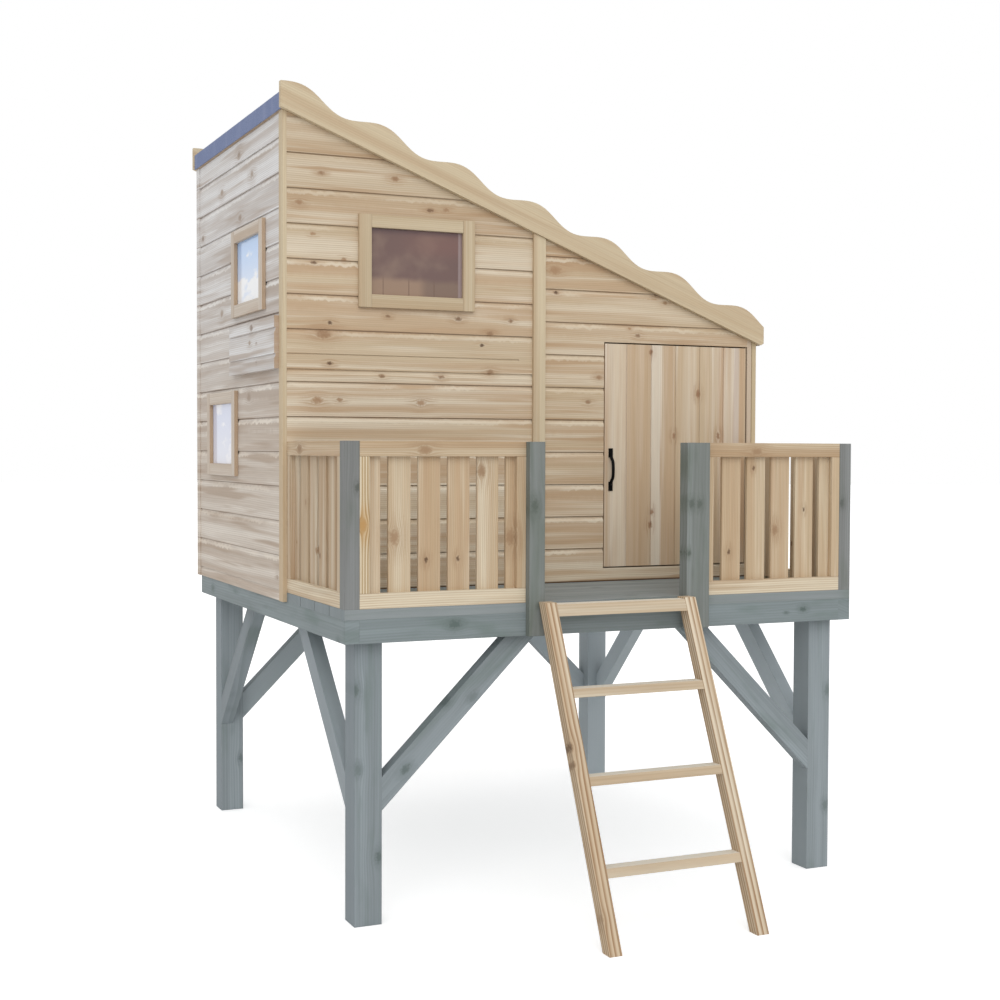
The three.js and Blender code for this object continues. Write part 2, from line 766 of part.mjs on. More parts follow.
const houseSpan = [houseFront, platformDepth + claddingThickness];
const roofEnds = [
  feltSetback + feltThickness + contactGap - bargeOverLeft,
  platformWidth + bargeOverRight - feltSetback - feltThickness - contactGap,
];

// A band that follows the roof's slope between two heights above the roof line
function roofBand([left, right], [under, over]) {
  return [
    [left, roofLine(left) + under],
    [right, roofLine(right) + under],
    [right, roofLine(right) + over],
    [left, roofLine(left) + over],
  ];
}

function addRoofPanel() {
  const slab = prismAlongY(roofBand(roofEnds, [0, roofThickness]), houseSpan);
  const inside = [framingDepth + rafterWidth, rightInside - rafterWidth];
  const pocketFront = framingInside + rafterWidth;
  const bayPitch = (backInside - pocketFront) / rafterBays;
  const pockets = [];
  for (let i = 0; i < rafterBays; i += 1) {
    const start = pocketFront + i * bayPitch;
    pockets.push(prismAlongY(roofBand(inside, [-overrun, roofThickness - roofBoardThickness]),
      [start, start + bayPitch - rafterWidth]));
  }
  addPiece('roof_panel', cut(slab, ...pockets), pine);
}

function addFelt() {
  const [left, right] = roofEnds;
  const drop = roofThickness + contactGap;
  const underLeft = left - contactGap;
  const underRight = right + contactGap;
  const outerLeft = underLeft - feltThickness;
  const outerRight = underRight + feltThickness;
  const points = [
    [outerLeft, roofLine(left)],
    [underLeft, roofLine(left)],
    [underLeft, roofLine(underLeft) + drop],
    [underRight, roofLine(underRight) + drop],
    [underRight, roofLine(right)],
    [outerRight, roofLine(right)],
    [outerRight, roofLine(outerRight) + drop + feltThickness],
    [outerLeft, roofLine(outerLeft) + drop + feltThickness],
  ];
  addPiece('roof_felt', prismAlongY(points, houseSpan), felt);
}

// The top edge is a wave along the slope. It is followed from one upright end to the other.
function bargeOutline() {
  const left = -bargeOverLeft;
  const right = platformWidth + bargeOverRight;
  const rise = (s) => bargeHeight
    + bargeWaveHeight * Math.cos(2 * Math.PI * (s - bargeFirstCrest) / bargeWaveLength);
  const across = (s) => left + s * Math.cos(roofAngle) + rise(s) * Math.sin(roofAngle);
  const up = (s) => roofLine(left) - s * Math.sin(roofAngle) + rise(s) * Math.cos(roofAngle);
  const alongAt = (x) => {
    let s = 0;
    for (let i = 0; i < bargeFitRounds; i += 1) s += (x - across(s)) / Math.cos(roofAngle);
    return s;
  };
  const from = alongAt(left);
  const to = alongAt(right);
  const points = [[left, roofLine(left)]];
  for (let i = 0; i <= bargeSteps; i += 1) {
    const s = from + (to - from) * i / bargeSteps;
    points.push([across(s), up(s)]);
  }
  points.push([right, roofLine(right) + bargeCorner]);
  points.push([right - bargeCorner, roofLine(right - bargeCorner)]);
  return points;
}

function addBargeBoards() {
  const barge = prismAlongY(bargeOutline(), [0, bargeThickness]);
  addPiece('barge_board_front', barge, pineTrim, [0, houseFront - bargeThickness, 0]);
  addPiece('barge_board_back', barge, pineTrim, [0, platformDepth + claddingThickness, 0]);
}

addLegsAndBeams();
addBraces();
addFloor();
addPosts();
addRailPanels();
addLadder();
addSideWalls();
addBackWall();
addFrontLeftWall();
addFrontRightWall();
addTrims();
addCoverBoard();
addWindows();
addDoor();
addRoofPanel();
addFelt();
addBargeBoards();

// Move the origin to the ground under the middle of the footprint
const leftmost = -Math.max(bargeOverLeft, claddingThickness + coverThickness);
const rightmost = platformWidth + bargeOverRight;
const foremost = -ladderPostProud - contactGap - stringerDepth - ladderRun;
const hindmost = platformDepth + claddingThickness + bargeThickness;
playhouse.position.set(-(leftmost + rightmost) / 2, -(foremost + hindmost) / 2, 0);

export default playhouse;
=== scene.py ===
import math
import random

import bmesh
import bpy
from mathutils import Matrix, Vector


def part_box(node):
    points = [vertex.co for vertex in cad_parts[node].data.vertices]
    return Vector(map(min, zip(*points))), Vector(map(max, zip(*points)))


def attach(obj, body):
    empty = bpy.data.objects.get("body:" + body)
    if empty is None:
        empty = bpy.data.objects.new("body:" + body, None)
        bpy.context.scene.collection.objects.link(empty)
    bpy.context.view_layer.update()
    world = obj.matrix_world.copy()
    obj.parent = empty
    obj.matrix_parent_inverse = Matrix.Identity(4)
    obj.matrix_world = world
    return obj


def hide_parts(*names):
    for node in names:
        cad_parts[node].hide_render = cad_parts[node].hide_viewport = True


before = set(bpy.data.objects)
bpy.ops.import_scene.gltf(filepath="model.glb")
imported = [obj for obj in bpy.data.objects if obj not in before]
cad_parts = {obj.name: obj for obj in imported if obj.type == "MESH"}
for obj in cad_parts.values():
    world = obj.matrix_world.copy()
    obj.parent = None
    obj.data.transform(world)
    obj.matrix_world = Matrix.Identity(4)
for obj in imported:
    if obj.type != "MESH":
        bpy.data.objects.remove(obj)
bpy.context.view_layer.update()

# Everything is in metres in the row frame. Places on the building are written in millimetres
# from the platform's front left corner at ground level, as the CAD source writes them.
CORNER = Vector((-0.885, -0.655, 0.0))
MM = 0.001

# A knot's radius is given for its dark heart, and its stain is this much wider
KNOT_SPREAD = 1.35

# The wall boards, and where the door leaf starts, in millimetres on the building
BOARD_PITCH = 112.5
FIRST_JOINT = 946
DOOR_LEFT = 1154

# The roof falls this far over its run, and the ladder leans this far over its rise, in millimetres
ROOF_SLOPE = (683, 1770)
LADDER_SLOPE = (422, 944)
ROOF_SIN, ROOF_COS = Vector(ROOF_SLOPE).normalized()
LADDER_SIN, LADDER_COS = Vector(LADDER_SLOPE).normalized()

# Directions. A brace leans at 45 degrees, so both of its parts are this long
HALF = math.sqrt(0.5)
TO_FRONT = (0, -1, 0)
TO_LEFT = (-1, 0, 0)
TO_SKY = (0, 0, 1)
TO_GROUND = (0, 0, -1)
FRONT_AND_UP = (0, -HALF, HALF)
FRONT_AND_DOWN = (0, -HALF, -HALF)

# The strength of a surface's bumps, the height they stand for, and how far edges are rounded in
# the shading, in metres
PINE_RELIEF = (0.25, 0.0006, 0.0015)
PAINT_RELIEF = (0.3, 0.0007, 0.002)
FELT_RELIEF = (0.5, 0.0008, 0.0)
METAL_RELIEF = (0.2, 0.0002, 0.0006)

# The eased edges of the bars that are modelled here, in metres
BAR_EDGE = 0.0015


def place(x, y, z):
    """A point in the row frame from millimetres on the building."""
    return CORNER + Vector((x, y, z)) * MM


def linear(*rgb):
    """A colour written in 0 to 255 as it looks on a screen, as the linear colour that shaders take."""
    values = []
    for value in rgb:
        c = value / 255
        values.append(c / 12.92 if c <= 0.04045 else ((c + 0.055) / 1.055) ** 2.4)
    return (*values, 1.0)


def added(name, data):
    """A new object in the scene."""
    made = bpy.data.objects.new(name, data)
    bpy.context.scene.collection.objects.link(made)
    return made


def meshed(name, bm, *materials):
    """A new object from mesh code, which is used up."""
    mesh = bpy.data.meshes.new(name)
    bm.to_mesh(mesh)
    bm.free()
    for material in materials:
        mesh.materials.append(material)
    return added(name, mesh)


# Camera and lamp

# The camera as it was fitted to the photograph: its place in metres, its turn, tilt and roll in
# degrees, and its lens and sensor width in millimetres
CAMERA_PLACE = (-2.2804, -4.8546, 1.4028)
CAMERA_TURNS = [("Z", -24.154), ("X", 88.124), ("Z", 0.207)]
LENS = 55.32
SENSOR_WIDTH = 36

# A broad lamp from the upper left front. Its spread is in degrees
SUN_STRENGTH = 0.95
SUN_SPREAD = 50
SUN_DIRECTION = (0.24, 0.78, -0.57)


def add_camera():
    data = bpy.data.cameras.new("camera")
    data.lens = LENS
    data.sensor_width = SENSOR_WIDTH
    camera = added("camera", data)
    stand = Matrix.Translation(CAMERA_PLACE)
    for axis, degrees in CAMERA_TURNS:
        stand = stand @ Matrix.Rotation(math.radians(degrees), 4, axis)
    camera.matrix_world = stand
    bpy.context.scene.camera = camera


def add_sun():
    data = bpy.data.lights.new("key", "SUN")
    data.energy = SUN_STRENGTH
    data.angle = math.radians(SUN_SPREAD)
    lamp = added("key", data)
    lamp.rotation_euler = Vector(SUN_DIRECTION).to_track_quat("-Z", "Y").to_euler()


# Nodes

class Graph:
    """The nodes of one material, group or world."""

    def __init__(self, tree):
        self.tree = tree

    def node(self, kind, values=None, **settings):
        made = self.tree.nodes.new(kind)
        for name, value in settings.items():
            setattr(made, name, value)
        self.fill(made, values or {})
        return made

    def fill(self, node, values):
        for key, value in values.items():
            self.put(node.inputs[key], value)

    def put(self, socket, value):
        """Links a socket, or sets a number, or a colour that is written in 0 to 255."""
        if isinstance(value, bpy.types.NodeSocket):
            self.tree.links.new(value, socket)
        elif socket.type == "RGBA":
            socket.default_value = linear(*value)
        else:
            socket.default_value = value

    def math(self, operation, a, b=0.0, c=0.0, clamp=False):
        made = self.node("ShaderNodeMath", {0: a, 1: b, 2: c}, operation=operation)
        made.use_clamp = clamp
        return made.outputs[0]

    def times(self, a, b, clamp=False):
        return self.math("MULTIPLY", a, b, clamp=clamp)

    def plus(self, a, b, clamp=False):
        return self.math("ADD", a, b, clamp=clamp)

    def minus(self, a, b):
        return self.math("SUBTRACT", a, b)

    def scaled(self, value, factor, offset):
        """The value times the factor, plus the offset."""
        return self.math("MULTIPLY_ADD", value, factor, offset)

    def length(self, a, b):
        """The distance of two points that are a and b apart along two axes."""
        return self.math("SQRT", self.plus(self.times(a, a), self.times(b, b)))

    def mix(self, factor, a, b, blend="MIX"):
        made = self.node("ShaderNodeMix", data_type="RGBA", blend_type=blend, clamp_factor=True)
        self.fill(made, {0: factor, 6: a, 7: b})
        return made.outputs[2]

    def shade(self, colour, value):
        """The colour made darker or lighter by a plain number."""
        return self.mix(1.0, colour, self.combine(value, value, value), "MULTIPLY")

    def step(self, value, low, high):
        """A smooth step from 0 at low to 1 at high."""
        made = self.node("ShaderNodeMapRange", {0: value, 1: low, 2: high},
                         interpolation_type="SMOOTHSTEP")
        return made.outputs[0]

    def noise(self, vector, scale, detail=2.0, rough=0.5):
        made = self.node("ShaderNodeTexNoise", {"Vector": vector, "Scale": scale, "Detail": detail,
                                                "Roughness": rough})
        return made.outputs["Fac"]

    def combine(self, x, y, z=0.0):
        return self.node("ShaderNodeCombineXYZ", {0: x, 1: y, 2: z}).outputs[0]

    def split(self, vector):
        return self.node("ShaderNodeSeparateXYZ", {0: vector}).outputs

    def object_place(self):
        return self.node("ShaderNodeTexCoord").outputs["Object"]

    def group(self, tree, values):
        return self.node("ShaderNodeGroup", values, node_tree=tree).outputs


def new_group(name, inputs, outputs):
    """A node group whose sockets all carry plain numbers. Their labels are split at commas."""
    tree = bpy.data.node_groups.new(name, "ShaderNodeTree")
    for label in inputs.split(", "):
        tree.interface.new_socket(label, in_out="INPUT", socket_type="NodeSocketFloat")
    for label in outputs.split(", "):
        tree.interface.new_socket(label, in_out="OUTPUT", socket_type="NodeSocketFloat")
    g = Graph(tree)
    entry = g.node("NodeGroupInput")
    leave = g.node("NodeGroupOutput")
    return g, entry.outputs, leave.inputs, tree


def new_material(name):
    material = bpy.data.materials.new(name)
    material.use_nodes = True
    material.node_tree.nodes.clear()
    g = Graph(material.node_tree)
    shader = g.node("ShaderNodeBsdfPrincipled")
    output = g.node("ShaderNodeOutputMaterial")
    g.put(output.inputs["Surface"], shader.outputs[0])
    return material, g, shader


# White surroundings

WHITE = (255, 255, 255)
# How strongly the world lights the object, and how bright it is where it is seen itself
WORLD_LIGHT = 0.80
WORLD_SEEN = 1.0
# The floor's two near whites, its own glow where it is seen, its size and the air under the feet
FLOOR_TONES = ((231.1, 231.1, 231.1), (233.65, 233.65, 233.65))
FLOOR_GLOW = 0.50
FLOOR_RADIUS = 60
FLOOR_SIDES = 96
FLOOR_DROP = 0.0005


def seen_directly(g):
    """One for rays from the camera, a reflection or a see-through pane, and zero else."""
    path = g.node("ShaderNodeLightPath").outputs
    seen = g.plus(path["Is Camera Ray"], path["Is Glossy Ray"])
    return g.plus(seen, path["Is Transmission Ray"], clamp=True)


def add_world():
    world = bpy.data.worlds.new("studio")
    world.use_nodes = True
    world.node_tree.nodes.clear()
    g = Graph(world.node_tree)
    lit = g.node("ShaderNodeBackground", {"Color": WHITE, "Strength": WORLD_LIGHT})
    shown = g.node("ShaderNodeBackground", {"Color": WHITE, "Strength": WORLD_SEEN})
    both = g.node("ShaderNodeMixShader", {0: seen_directly(g), 1: lit.outputs[0], 2: shown.outputs[0]})
    g.put(g.node("ShaderNodeOutputWorld").inputs["Surface"], both.outputs[0])
    bpy.context.scene.world = world


def add_floor():
    material, g, shader = new_material("floor_white")
    colour = g.mix(g.noise(g.object_place(), 3.0, 3.0), *FLOOR_TONES)
    g.fill(shader, {"Base Color": colour, "Roughness": 0.9, "Specular IOR Level": 0.1})
    glow = g.node("ShaderNodeEmission",
                  {"Color": WHITE, "Strength": g.times(seen_directly(g), FLOOR_GLOW)})
    both = g.node("ShaderNodeAddShader", {0: shader.outputs[0], 1: glow.outputs[0]})
    output = next(n for n in g.tree.nodes if n.type == "OUTPUT_MATERIAL")
    g.put(output.inputs["Surface"], both.outputs[0])
    bm = bmesh.new()
    bmesh.ops.create_circle(bm, cap_ends=True, radius=FLOOR_RADIUS, segments=FLOOR_SIDES)
    floor = meshed("floor", bm, material)
    floor.location.z = -FLOOR_DROP


# Wood

# A knot is longer along the grain than across by one over this
KNOT_FLATNESS = 0.62
# Growth lines bend out to this many radii from a knot, and most within the second number
KNOT_REACH = (6.0, 2.0)
# The least radius that a knot is divided by, in metres
LEAST_RADIUS = 0.0001
# The distance from any knot, in radii, that a surface starts with
FAR_AWAY = 50.0

# The heart of the growth rings: its depth, how far that drifts along the board, its place to the
# side, and how far the rings wander, in metres
HEART_DEPTH = 0.059
HEART_DRIFT = 0.11
HEART_SIDE = 0.05
WANDER = 0.035


def make_knot_group():
    """One knot: it pushes the growth lines aside round itself, and keeps the nearest distance."""
    g, given, out, tree = new_group(
        "knot", "Along, Across, At along, At across, Radius, Dark, Shift, Near, Depth",
        "Shift, Near, Depth")
    along = g.minus(given["Along"], given["At along"])
    across = g.minus(given["Across"], given["At across"])
    reach = g.length(g.times(along, KNOT_FLATNESS), across)
    near = g.math("DIVIDE", reach, g.math("MAXIMUM", given["Radius"], LEAST_RADIUS))
    round_it = g.math("DIVIDE", 1.0, g.math("MAXIMUM", g.times(near, near), 1.0))
    push = g.times(g.times(across, round_it), g.step(near, *KNOT_REACH))
    g.put(out["Shift"], g.minus(given["Shift"], push))
    closer = g.math("LESS_THAN", near, given["Near"])
    g.put(out["Near"], g.math("MINIMUM", near, given["Near"]))
    kept = g.times(given["Depth"], g.minus(1.0, closer))
    g.put(out["Depth"], g.plus(kept, g.times(closer, given["Dark"])))
    return tree


KNOT = make_knot_group()


def make_scatter_group():
    """Knots strewn along the boards, as a place, a radius and a darkness for the knot group."""
    g, given, out, tree = new_group(
        "scatter", "Along, Across, Seed, Spacing, Row, Share, Size",
        "At along, At across, Radius, Dark")
    seed_a = g.times(given["Seed"], 7.31)
    seed_b = g.times(given["Seed"], 3.77)
    a = g.plus(g.math("DIVIDE", given["Along"], given["Spacing"]), seed_a)
    b = g.plus(g.math("DIVIDE", given["Across"], given["Row"]), seed_b)
    lattice = {"Vector": g.combine(a, b), "Scale": 1.0, "Randomness": 0.85}
    cells = g.node("ShaderNodeTexVoronoi", lattice, voronoi_dimensions="2D", feature="F1")
    x, y, _ = g.split(cells.outputs["Position"])
    g.put(out["At along"], g.times(g.minus(x, seed_a), given["Spacing"]))
    g.put(out["At across"], g.times(g.minus(y, seed_b), given["Row"]))
    red, green, _ = g.split(cells.outputs["Color"])
    chosen = g.math("LESS_THAN", red, given["Share"])
    size = g.times(g.scaled(green, 0.75, 0.35), given["Size"])
    g.put(out["Radius"], g.times(size, chosen))
    g.put(out["Dark"], g.scaled(red, 1.1, 0.08))
    return tree


SCATTER = make_scatter_group()


def make_wood_group():
    """Planed softwood from grain coordinates in metres: Along, Across the face, Through."""
    g, given, out, tree = new_group(
        "softwood", "Along, Across, Through, Seed, Shift, Near, Depth, Rings, Drift",
        "Ring, Streak, Wide, Fibre, Knot, Halo, Dark, Blotch, Line, Band")
    seed = given["Seed"]
    across = g.plus(given["Across"], given["Shift"])
    long_way = g.scaled(seed, 5.3, given["Along"])
    wander = g.noise(g.combine(g.times(long_way, 1.3), g.times(across, 3.0), seed), 1.0, 1.0)
    across = g.scaled(g.minus(wander, 0.5), g.times(given["Drift"], WANDER), across)

    # Growth rings round a heart that lies behind the face and drifts along the board
    heart = g.noise(g.combine(g.times(long_way, 0.9), seed, 0.0), 1.0, 1.0)
    depth = g.scaled(g.minus(heart, 0.5), g.times(given["Drift"], HEART_DRIFT), HEART_DEPTH)
    depth = g.plus(depth, g.times(given["Through"], 0.6))
    side = g.minus(across, g.times(g.math("SINE", g.times(seed, 12.9)), HEART_SIDE))
    radius = g.length(depth, side)
    phase = g.math("FRACT", g.times(radius, given["Rings"]))
    g.put(out["Ring"], g.times(g.step(phase, 0.25, 0.9), g.step(phase, 1.0, 0.93)))

    def layer(label, run, sideways, scale, third, detail, rough=0.5):
        """A noise drawn out along the board: run and scale are its waves in a metre, each way."""
        drawn_out = g.combine(g.times(long_way, run), g.times(sideways, scale), third)
        g.put(out[label], g.noise(drawn_out, 1.0, detail, rough))

    layer("Streak", 0.55, radius, 42.0, seed, 3.0, 0.55)
    layer("Wide", 0.4, across, 17.0, g.plus(seed, 9.0), 1.0)
    layer("Line", 1.6, radius, 150.0, g.plus(seed, 4.0), 2.0, 0.6)
    layer("Band", 1.3, across, 27.0, g.plus(seed, 2.0), 2.0, 0.6)
    layer("Fibre", 9.0, across, 420.0, g.times(given["Through"], 420.0), 2.0, 0.6)
    layer("Blotch", 5.0, across, 22.0, seed, 2.0)

    rough_edge = g.noise(g.combine(given["Along"], given["Across"], given["Through"]), 130.0, 3.0, 0.6)
    near = g.scaled(g.minus(rough_edge, 0.5), 1.7, given["Near"])
    g.put(out["Knot"], g.step(near, g.scaled(given["Depth"], -0.5, 1.6), 0.35))
    g.put(out["Halo"], near)
    g.put(out["Dark"], given["Depth"])
    return tree


WOOD = make_wood_group()

# The directions along the grain, across the face and through the thickness, by how a piece lies
AXES = {
    "X": ((1, 0, 0), (0, 0, 1), (0, 1, 0)),
    "Y": ((0, 1, 0), (0, 0, 1), (1, 0, 0)),
    "Z": ((0, 0, 1), (1, 0, 0), (0, 1, 0)),
    "Z side": ((0, 0, 1), (0, 1, 0), (1, 0, 0)),
    "X flat": ((1, 0, 0), (0, 1, 0), (0, 0, 1)),
    "up right": ((HALF, 0, HALF), (-HALF, 0, HALF), (0, 1, 0)),
    "up left": ((-HALF, 0, HALF), (HALF, 0, HALF), (0, 1, 0)),
    "up back": ((0, HALF, HALF), (0, -HALF, HALF), (1, 0, 0)),
    "up front": ((0, -HALF, HALF), (0, HALF, HALF), (1, 0, 0)),
    "roof": ((ROOF_COS, 0, -ROOF_SIN), (ROOF_SIN, 0, ROOF_COS), (0, 1, 0)),
    "roof flat": ((ROOF_COS, 0, -ROOF_SIN), (0, 1, 0), (ROOF_SIN, 0, ROOF_COS)),
    "ladder": ((0, LADDER_SIN, LADDER_COS), (1, 0, 0), (0, LADDER_COS, -LADDER_SIN)),
}


def part_along(g, vector, direction):
    made = g.node("ShaderNodeVectorMath", {0: vector, 1: Vector(direction)}, operation="DOT_PRODUCT")
    return made.outputs["Value"]


def grain(g, axes):
    """Object coordinates along the grain, across the face and through the thickness, in metres."""
    here = g.object_place()
    return [part_along(g, here, axis) for axis in AXES[axes]]


# Knots on the building by material, as (place along X or Y, height, radius, darkness), the first
# three in millimetres
ON_POSTS = [(39, 1293, 7, 0.8), (592, 1234, 11, 0.6), (1141, 1234, 8, 0.6), (1170, 1233, 8, 0.6),
            (1131, 1079, 6, 0.8), (1736, 1229, 7, 0.6)]
KNOTS = {
    "pine_front_left": [
        (115, 2292, 5, 0.4), (368, 2292, 6, 0.4), (41, 2194, 6, 0.3), (87, 2096, 4, 0.2),
        (91, 2004, 5, 0.7), (192, 2020, 4, 0.3), (492, 2197, 6, 0.6), (549, 2202, 5, 0.3),
        (344, 1840, 4, 0.5), (594, 1841, 6, 0.6), (789, 1842, 5, 0.5), (144, 1812, 5, 1.0),
        (124, 1776, 11, 0.35), (711, 1796, 6, 0.4), (682, 1755, 5, 1.0), (144, 1681, 5, 1.0),
        (712, 1665, 6, 0.4), (323, 1644, 5, 0.5), (533, 1645, 5, 0.5), (101, 1561, 8, 0.15),
        (461, 1557, 8, 0.15), (178, 1563, 5, 0.3)],
    "pine_front_right": [
        (956, 2023, 10, 0.15), (962, 1946, 5, 1.0), (1357, 1955, 4, 0.4), (1394, 1928, 4, 0.4),
        (1284, 1809, 5, 0.5), (1129, 1657, 5, 0.3), (1087, 1571, 5, 0.4)],
    "pine_left": [
        (1145, 2436, 10, 0.4), (971, 2341, 10, 0.3), (1391, 2340, 9, 0.3), (1133, 2214, 9, 0.4),
        (1692, 2209, 8, 0.6), (1395, 1898, 10, 0.2), (1015, 1582, 11, 0.3)],
    "pine_cover": [(909, 1812, 9, 0.6), (846, 1758, 2.6, 1.0), (847, 1692, 2.6, 1.0)],
    "pine_door": [
        (1339, 1752, 5, 0.4), (1535, 1607, 6, 0.4), (1436, 1454, 5, 0.3), (1621, 1455, 6, 0.4),
        (1347, 1182, 5, 0.3), (1340, 1136, 6, 0.4)],
    "rail_front": [(247, 1401, 9, 0.15), (1398, 1398, 9, 0.15)],
    "slat_front": [
        (157, 1146, 11, 0.2), (257, 1077, 5, 1.0), (359, 1078, 5, 1.0), (529, 1138, 11, 0.2),
        (435, 1339, 9, 0.3), (1306, 1076, 5, 0.9), (1595, 1208, 4, 0.8), (1482, 1144, 8, 0.3),
        (1398, 1346, 4, 0.8)],
    "rail_side": [(447, 1403, 11, 0.35)],
    "slat_side": [(217, 1082, 5, 0.95), (292, 1077, 5, 0.6)],
    "stile_wavy": [(54, 1183, 9, 0.3)],
    "paint_post": ON_POSTS,
    "paint_ladder_post": ON_POSTS,
    "paint_leg_front_left": [(46, 699, 9, 0.8), (121, 201, 9, 0.8), (56, 465, 8, 0.3)],
    "paint_leg_front_right": [(1713, 209, 8, 0.5), (1719, 598, 9, 0.5)],
    "paint_leg_back_left": [(122, 199, 8, 0.7)],
    "paint_beam_front": [(343, 885, 10, 0.8), (1584, 881, 7, 1.0)],
    "paint_brace_front_left": [(203, 453, 10, 0.8), (336, 647, 8, 0.6)],
}


def placed_knots(name, axes):
    """The knots of one material, in metres in the grain's own coordinates."""
    along, across = Vector(AXES[axes][0]), Vector(AXES[axes][1])
    found = []
    for at, height, radius, dark in KNOTS.get(name, []):
        spot = place(0, at, height) if axes in ("Y", "Z side") else place(at, 0, height)
        found.append((spot.dot(along), spot.dot(across), radius * KNOT_SPREAD * MM, dark))
    return found


def grown(g, lay, seed, knots, strewn, share, rings, drift):
    """Softwood's layers, with a share of the strewn knots and those that are listed. lay holds
    the grain's three coordinates."""
    along, across, through = lay
    here = {"Along": along, "Across": across}
    spacing, row, size = strewn
    scatter = g.group(SCATTER, {**here, "Seed": seed, "Spacing": spacing, "Row": row, "Share": share,
                                "Size": size})
    first = [scatter[name] for name in ("At along", "At across", "Radius", "Dark")]
    kept = {"Shift": 0.0, "Near": FAR_AWAY, "Depth": 0.0}
    for at_along, at_across, radius, dark in [first, *knots]:
        made = g.group(KNOT, {**here, "At along": at_along, "At across": at_across, "Radius": radius,
                              "Dark": dark, **kept})
        kept = {name: made[name] for name in kept}
    return g.group(WOOD, {**here, "Through": through, "Seed": seed, **kept, "Rings": rings,
                          "Drift": drift})


def fibred(g, wood, colour, lines, fibres):
    """The colour with fine growth lines and finer fibres, each of them strong by its share."""
    line = g.scaled(g.minus(wood["Line"], 0.5), lines, 1.0)
    return g.shade(colour, g.times(line, g.scaled(wood["Fibre"], fibres, 1 - fibres / 2)))


def add_relief(g, shader, height, relief):
    """Bump from a height, over edges that may be rounded in the shading."""
    strength, distance, rounding = relief
    bump = g.node("ShaderNodeBump", {"Strength": strength, "Distance": distance, "Height": height})
    if rounding:
        edge = g.node("ShaderNodeBevel", {"Radius": rounding}, samples=4)
        g.put(bump.inputs["Normal"], edge.outputs[0])
    g.put(shader.inputs["Normal"], bump.outputs[0])


# How far the outer boards of a surface reach past the joints, in metres
PAST_FIRST = 0.2
PAST_LAST = 0.4


def board_value(g, across, edges, seed, tones=None):
    """Seed, tone and warmth that are the same all over one board, between its joints."""
    rng = random.Random(seed)
    low = edges[0] - PAST_FIRST
    span = edges[-1] + PAST_LAST - low
    ramp = g.node("ShaderNodeValToRGB", {0: g.math("DIVIDE", g.minus(across, low), span)})
    ramp.color_ramp.interpolation = "CONSTANT"
    stops = ramp.color_ramp.elements
    while len(stops) > 1:
        stops.remove(stops[0])
    for index, edge in enumerate([low, *edges]):
        at = (edge - low) / span
        stop = stops[0] if index == 0 else stops.new(at)
        stop.position = at
        tone = tones[index] if tones else rng.uniform(0.25, 0.75)
        stop.color = (rng.random(), tone, rng.random(), 1)
    return g.split(ramp.outputs["Color"])


class Finish:
    """The colours of one kind of bare timber, and how strongly it is banded, ringed and lined. A
    drift of zero keeps its lines parallel to the edges."""

    def __init__(self, *colours, banding, contrast=1.0, lines=1.0, drift=1.0, scoop_highlight=None):
        """The colours are pale, mid, warm, deep, late wood, the heart of a knot and its stain."""
        self.pale, self.mid, self.warm, self.deep, self.late, self.knot, self.halo = colours
        # The colour of the painted highlight on the wall boards' scooped strips
        self.scoop_highlight = scoop_highlight or self.pale
        self.banding = banding
        self.contrast = contrast
        self.lines = lines
        self.drift = drift


FRONT = Finish((222, 210, 189), (204, 186, 158), (196, 171, 142), (190, 162, 131), (182, 155, 122),
               (84, 60, 44), (164, 130, 98), banding=0.85, lines=0.7, drift=0.6)
# SIDE is the same pine painted paler and cooler for the left side: painted light, for the cooler light
# on that side
SIDE = Finish((226, 226, 226), (204, 200, 197), (193, 184, 177), (181, 169, 159), (184, 171, 160),
              (112, 94, 82), (166, 148, 132), banding=0.9, lines=0.7, drift=0.35, scoop_highlight=(234, 232, 228))
TRIM = Finish((210, 195, 166), (200, 182, 152), (193, 171, 141), (190, 168, 137), (184, 158, 125),
              (112, 80, 56), (172, 140, 108), banding=0.3, contrast=0.7, lines=0.6, drift=0.2)
FRAME = Finish((203, 188, 160), (192, 174, 145), (186, 164, 134), (182, 160, 129), (176, 150, 117),
               (112, 80, 56), (166, 134, 102), banding=0.3, contrast=0.9, lines=0.7, drift=0.2)
# Painted paler and cooler for the left side's windows, like SIDE: painted light
SIDE_FRAME = Finish((213, 204, 193), (198, 186, 171), (189, 172, 154), (182, 163, 143), (178, 158, 138),
                    (112, 90, 74), (166, 144, 122), banding=0.4, contrast=0.9, lines=0.7, drift=0.2)
DOOR = Finish((225, 213, 195), (200, 179, 150), (194, 165, 134), (183, 151, 118), (178, 147, 114),
              (104, 72, 50), (160, 122, 92), banding=0.6, contrast=0.7, lines=0.45, drift=0.4)
RAIL = Finish((216, 204, 180), (194, 173, 143), (187, 161, 131), (180, 153, 121), (174, 142, 108),
              (88, 64, 46), (156, 126, 96), banding=0.5, contrast=1.2, drift=0.5)
STILE = Finish((226, 216, 192), (214, 201, 174), (208, 190, 158), (198, 178, 144), (166, 136, 96),
               (150, 108, 66), (186, 146, 92), banding=0.3, contrast=3.2, lines=0.6, drift=0.12)
LADDER = Finish((218, 206, 184), (206, 188, 162), (194, 171, 141), (188, 163, 132), (154, 122, 90),
                (92, 68, 48), (158, 130, 100), banding=0.3, contrast=2.4, drift=0.08)
RUNG = Finish((206, 194, 172), (194, 175, 149), (188, 167, 139), (182, 159, 130), (170, 144, 113),
              (92, 68, 48), (158, 130, 100), banding=0.4, contrast=0.8, drift=0.1)


# The dark line in the joint between two boards, under the lip: dirt and painted shade
JOINT_DIRT_AND_SHADE = (128, 102, 84)

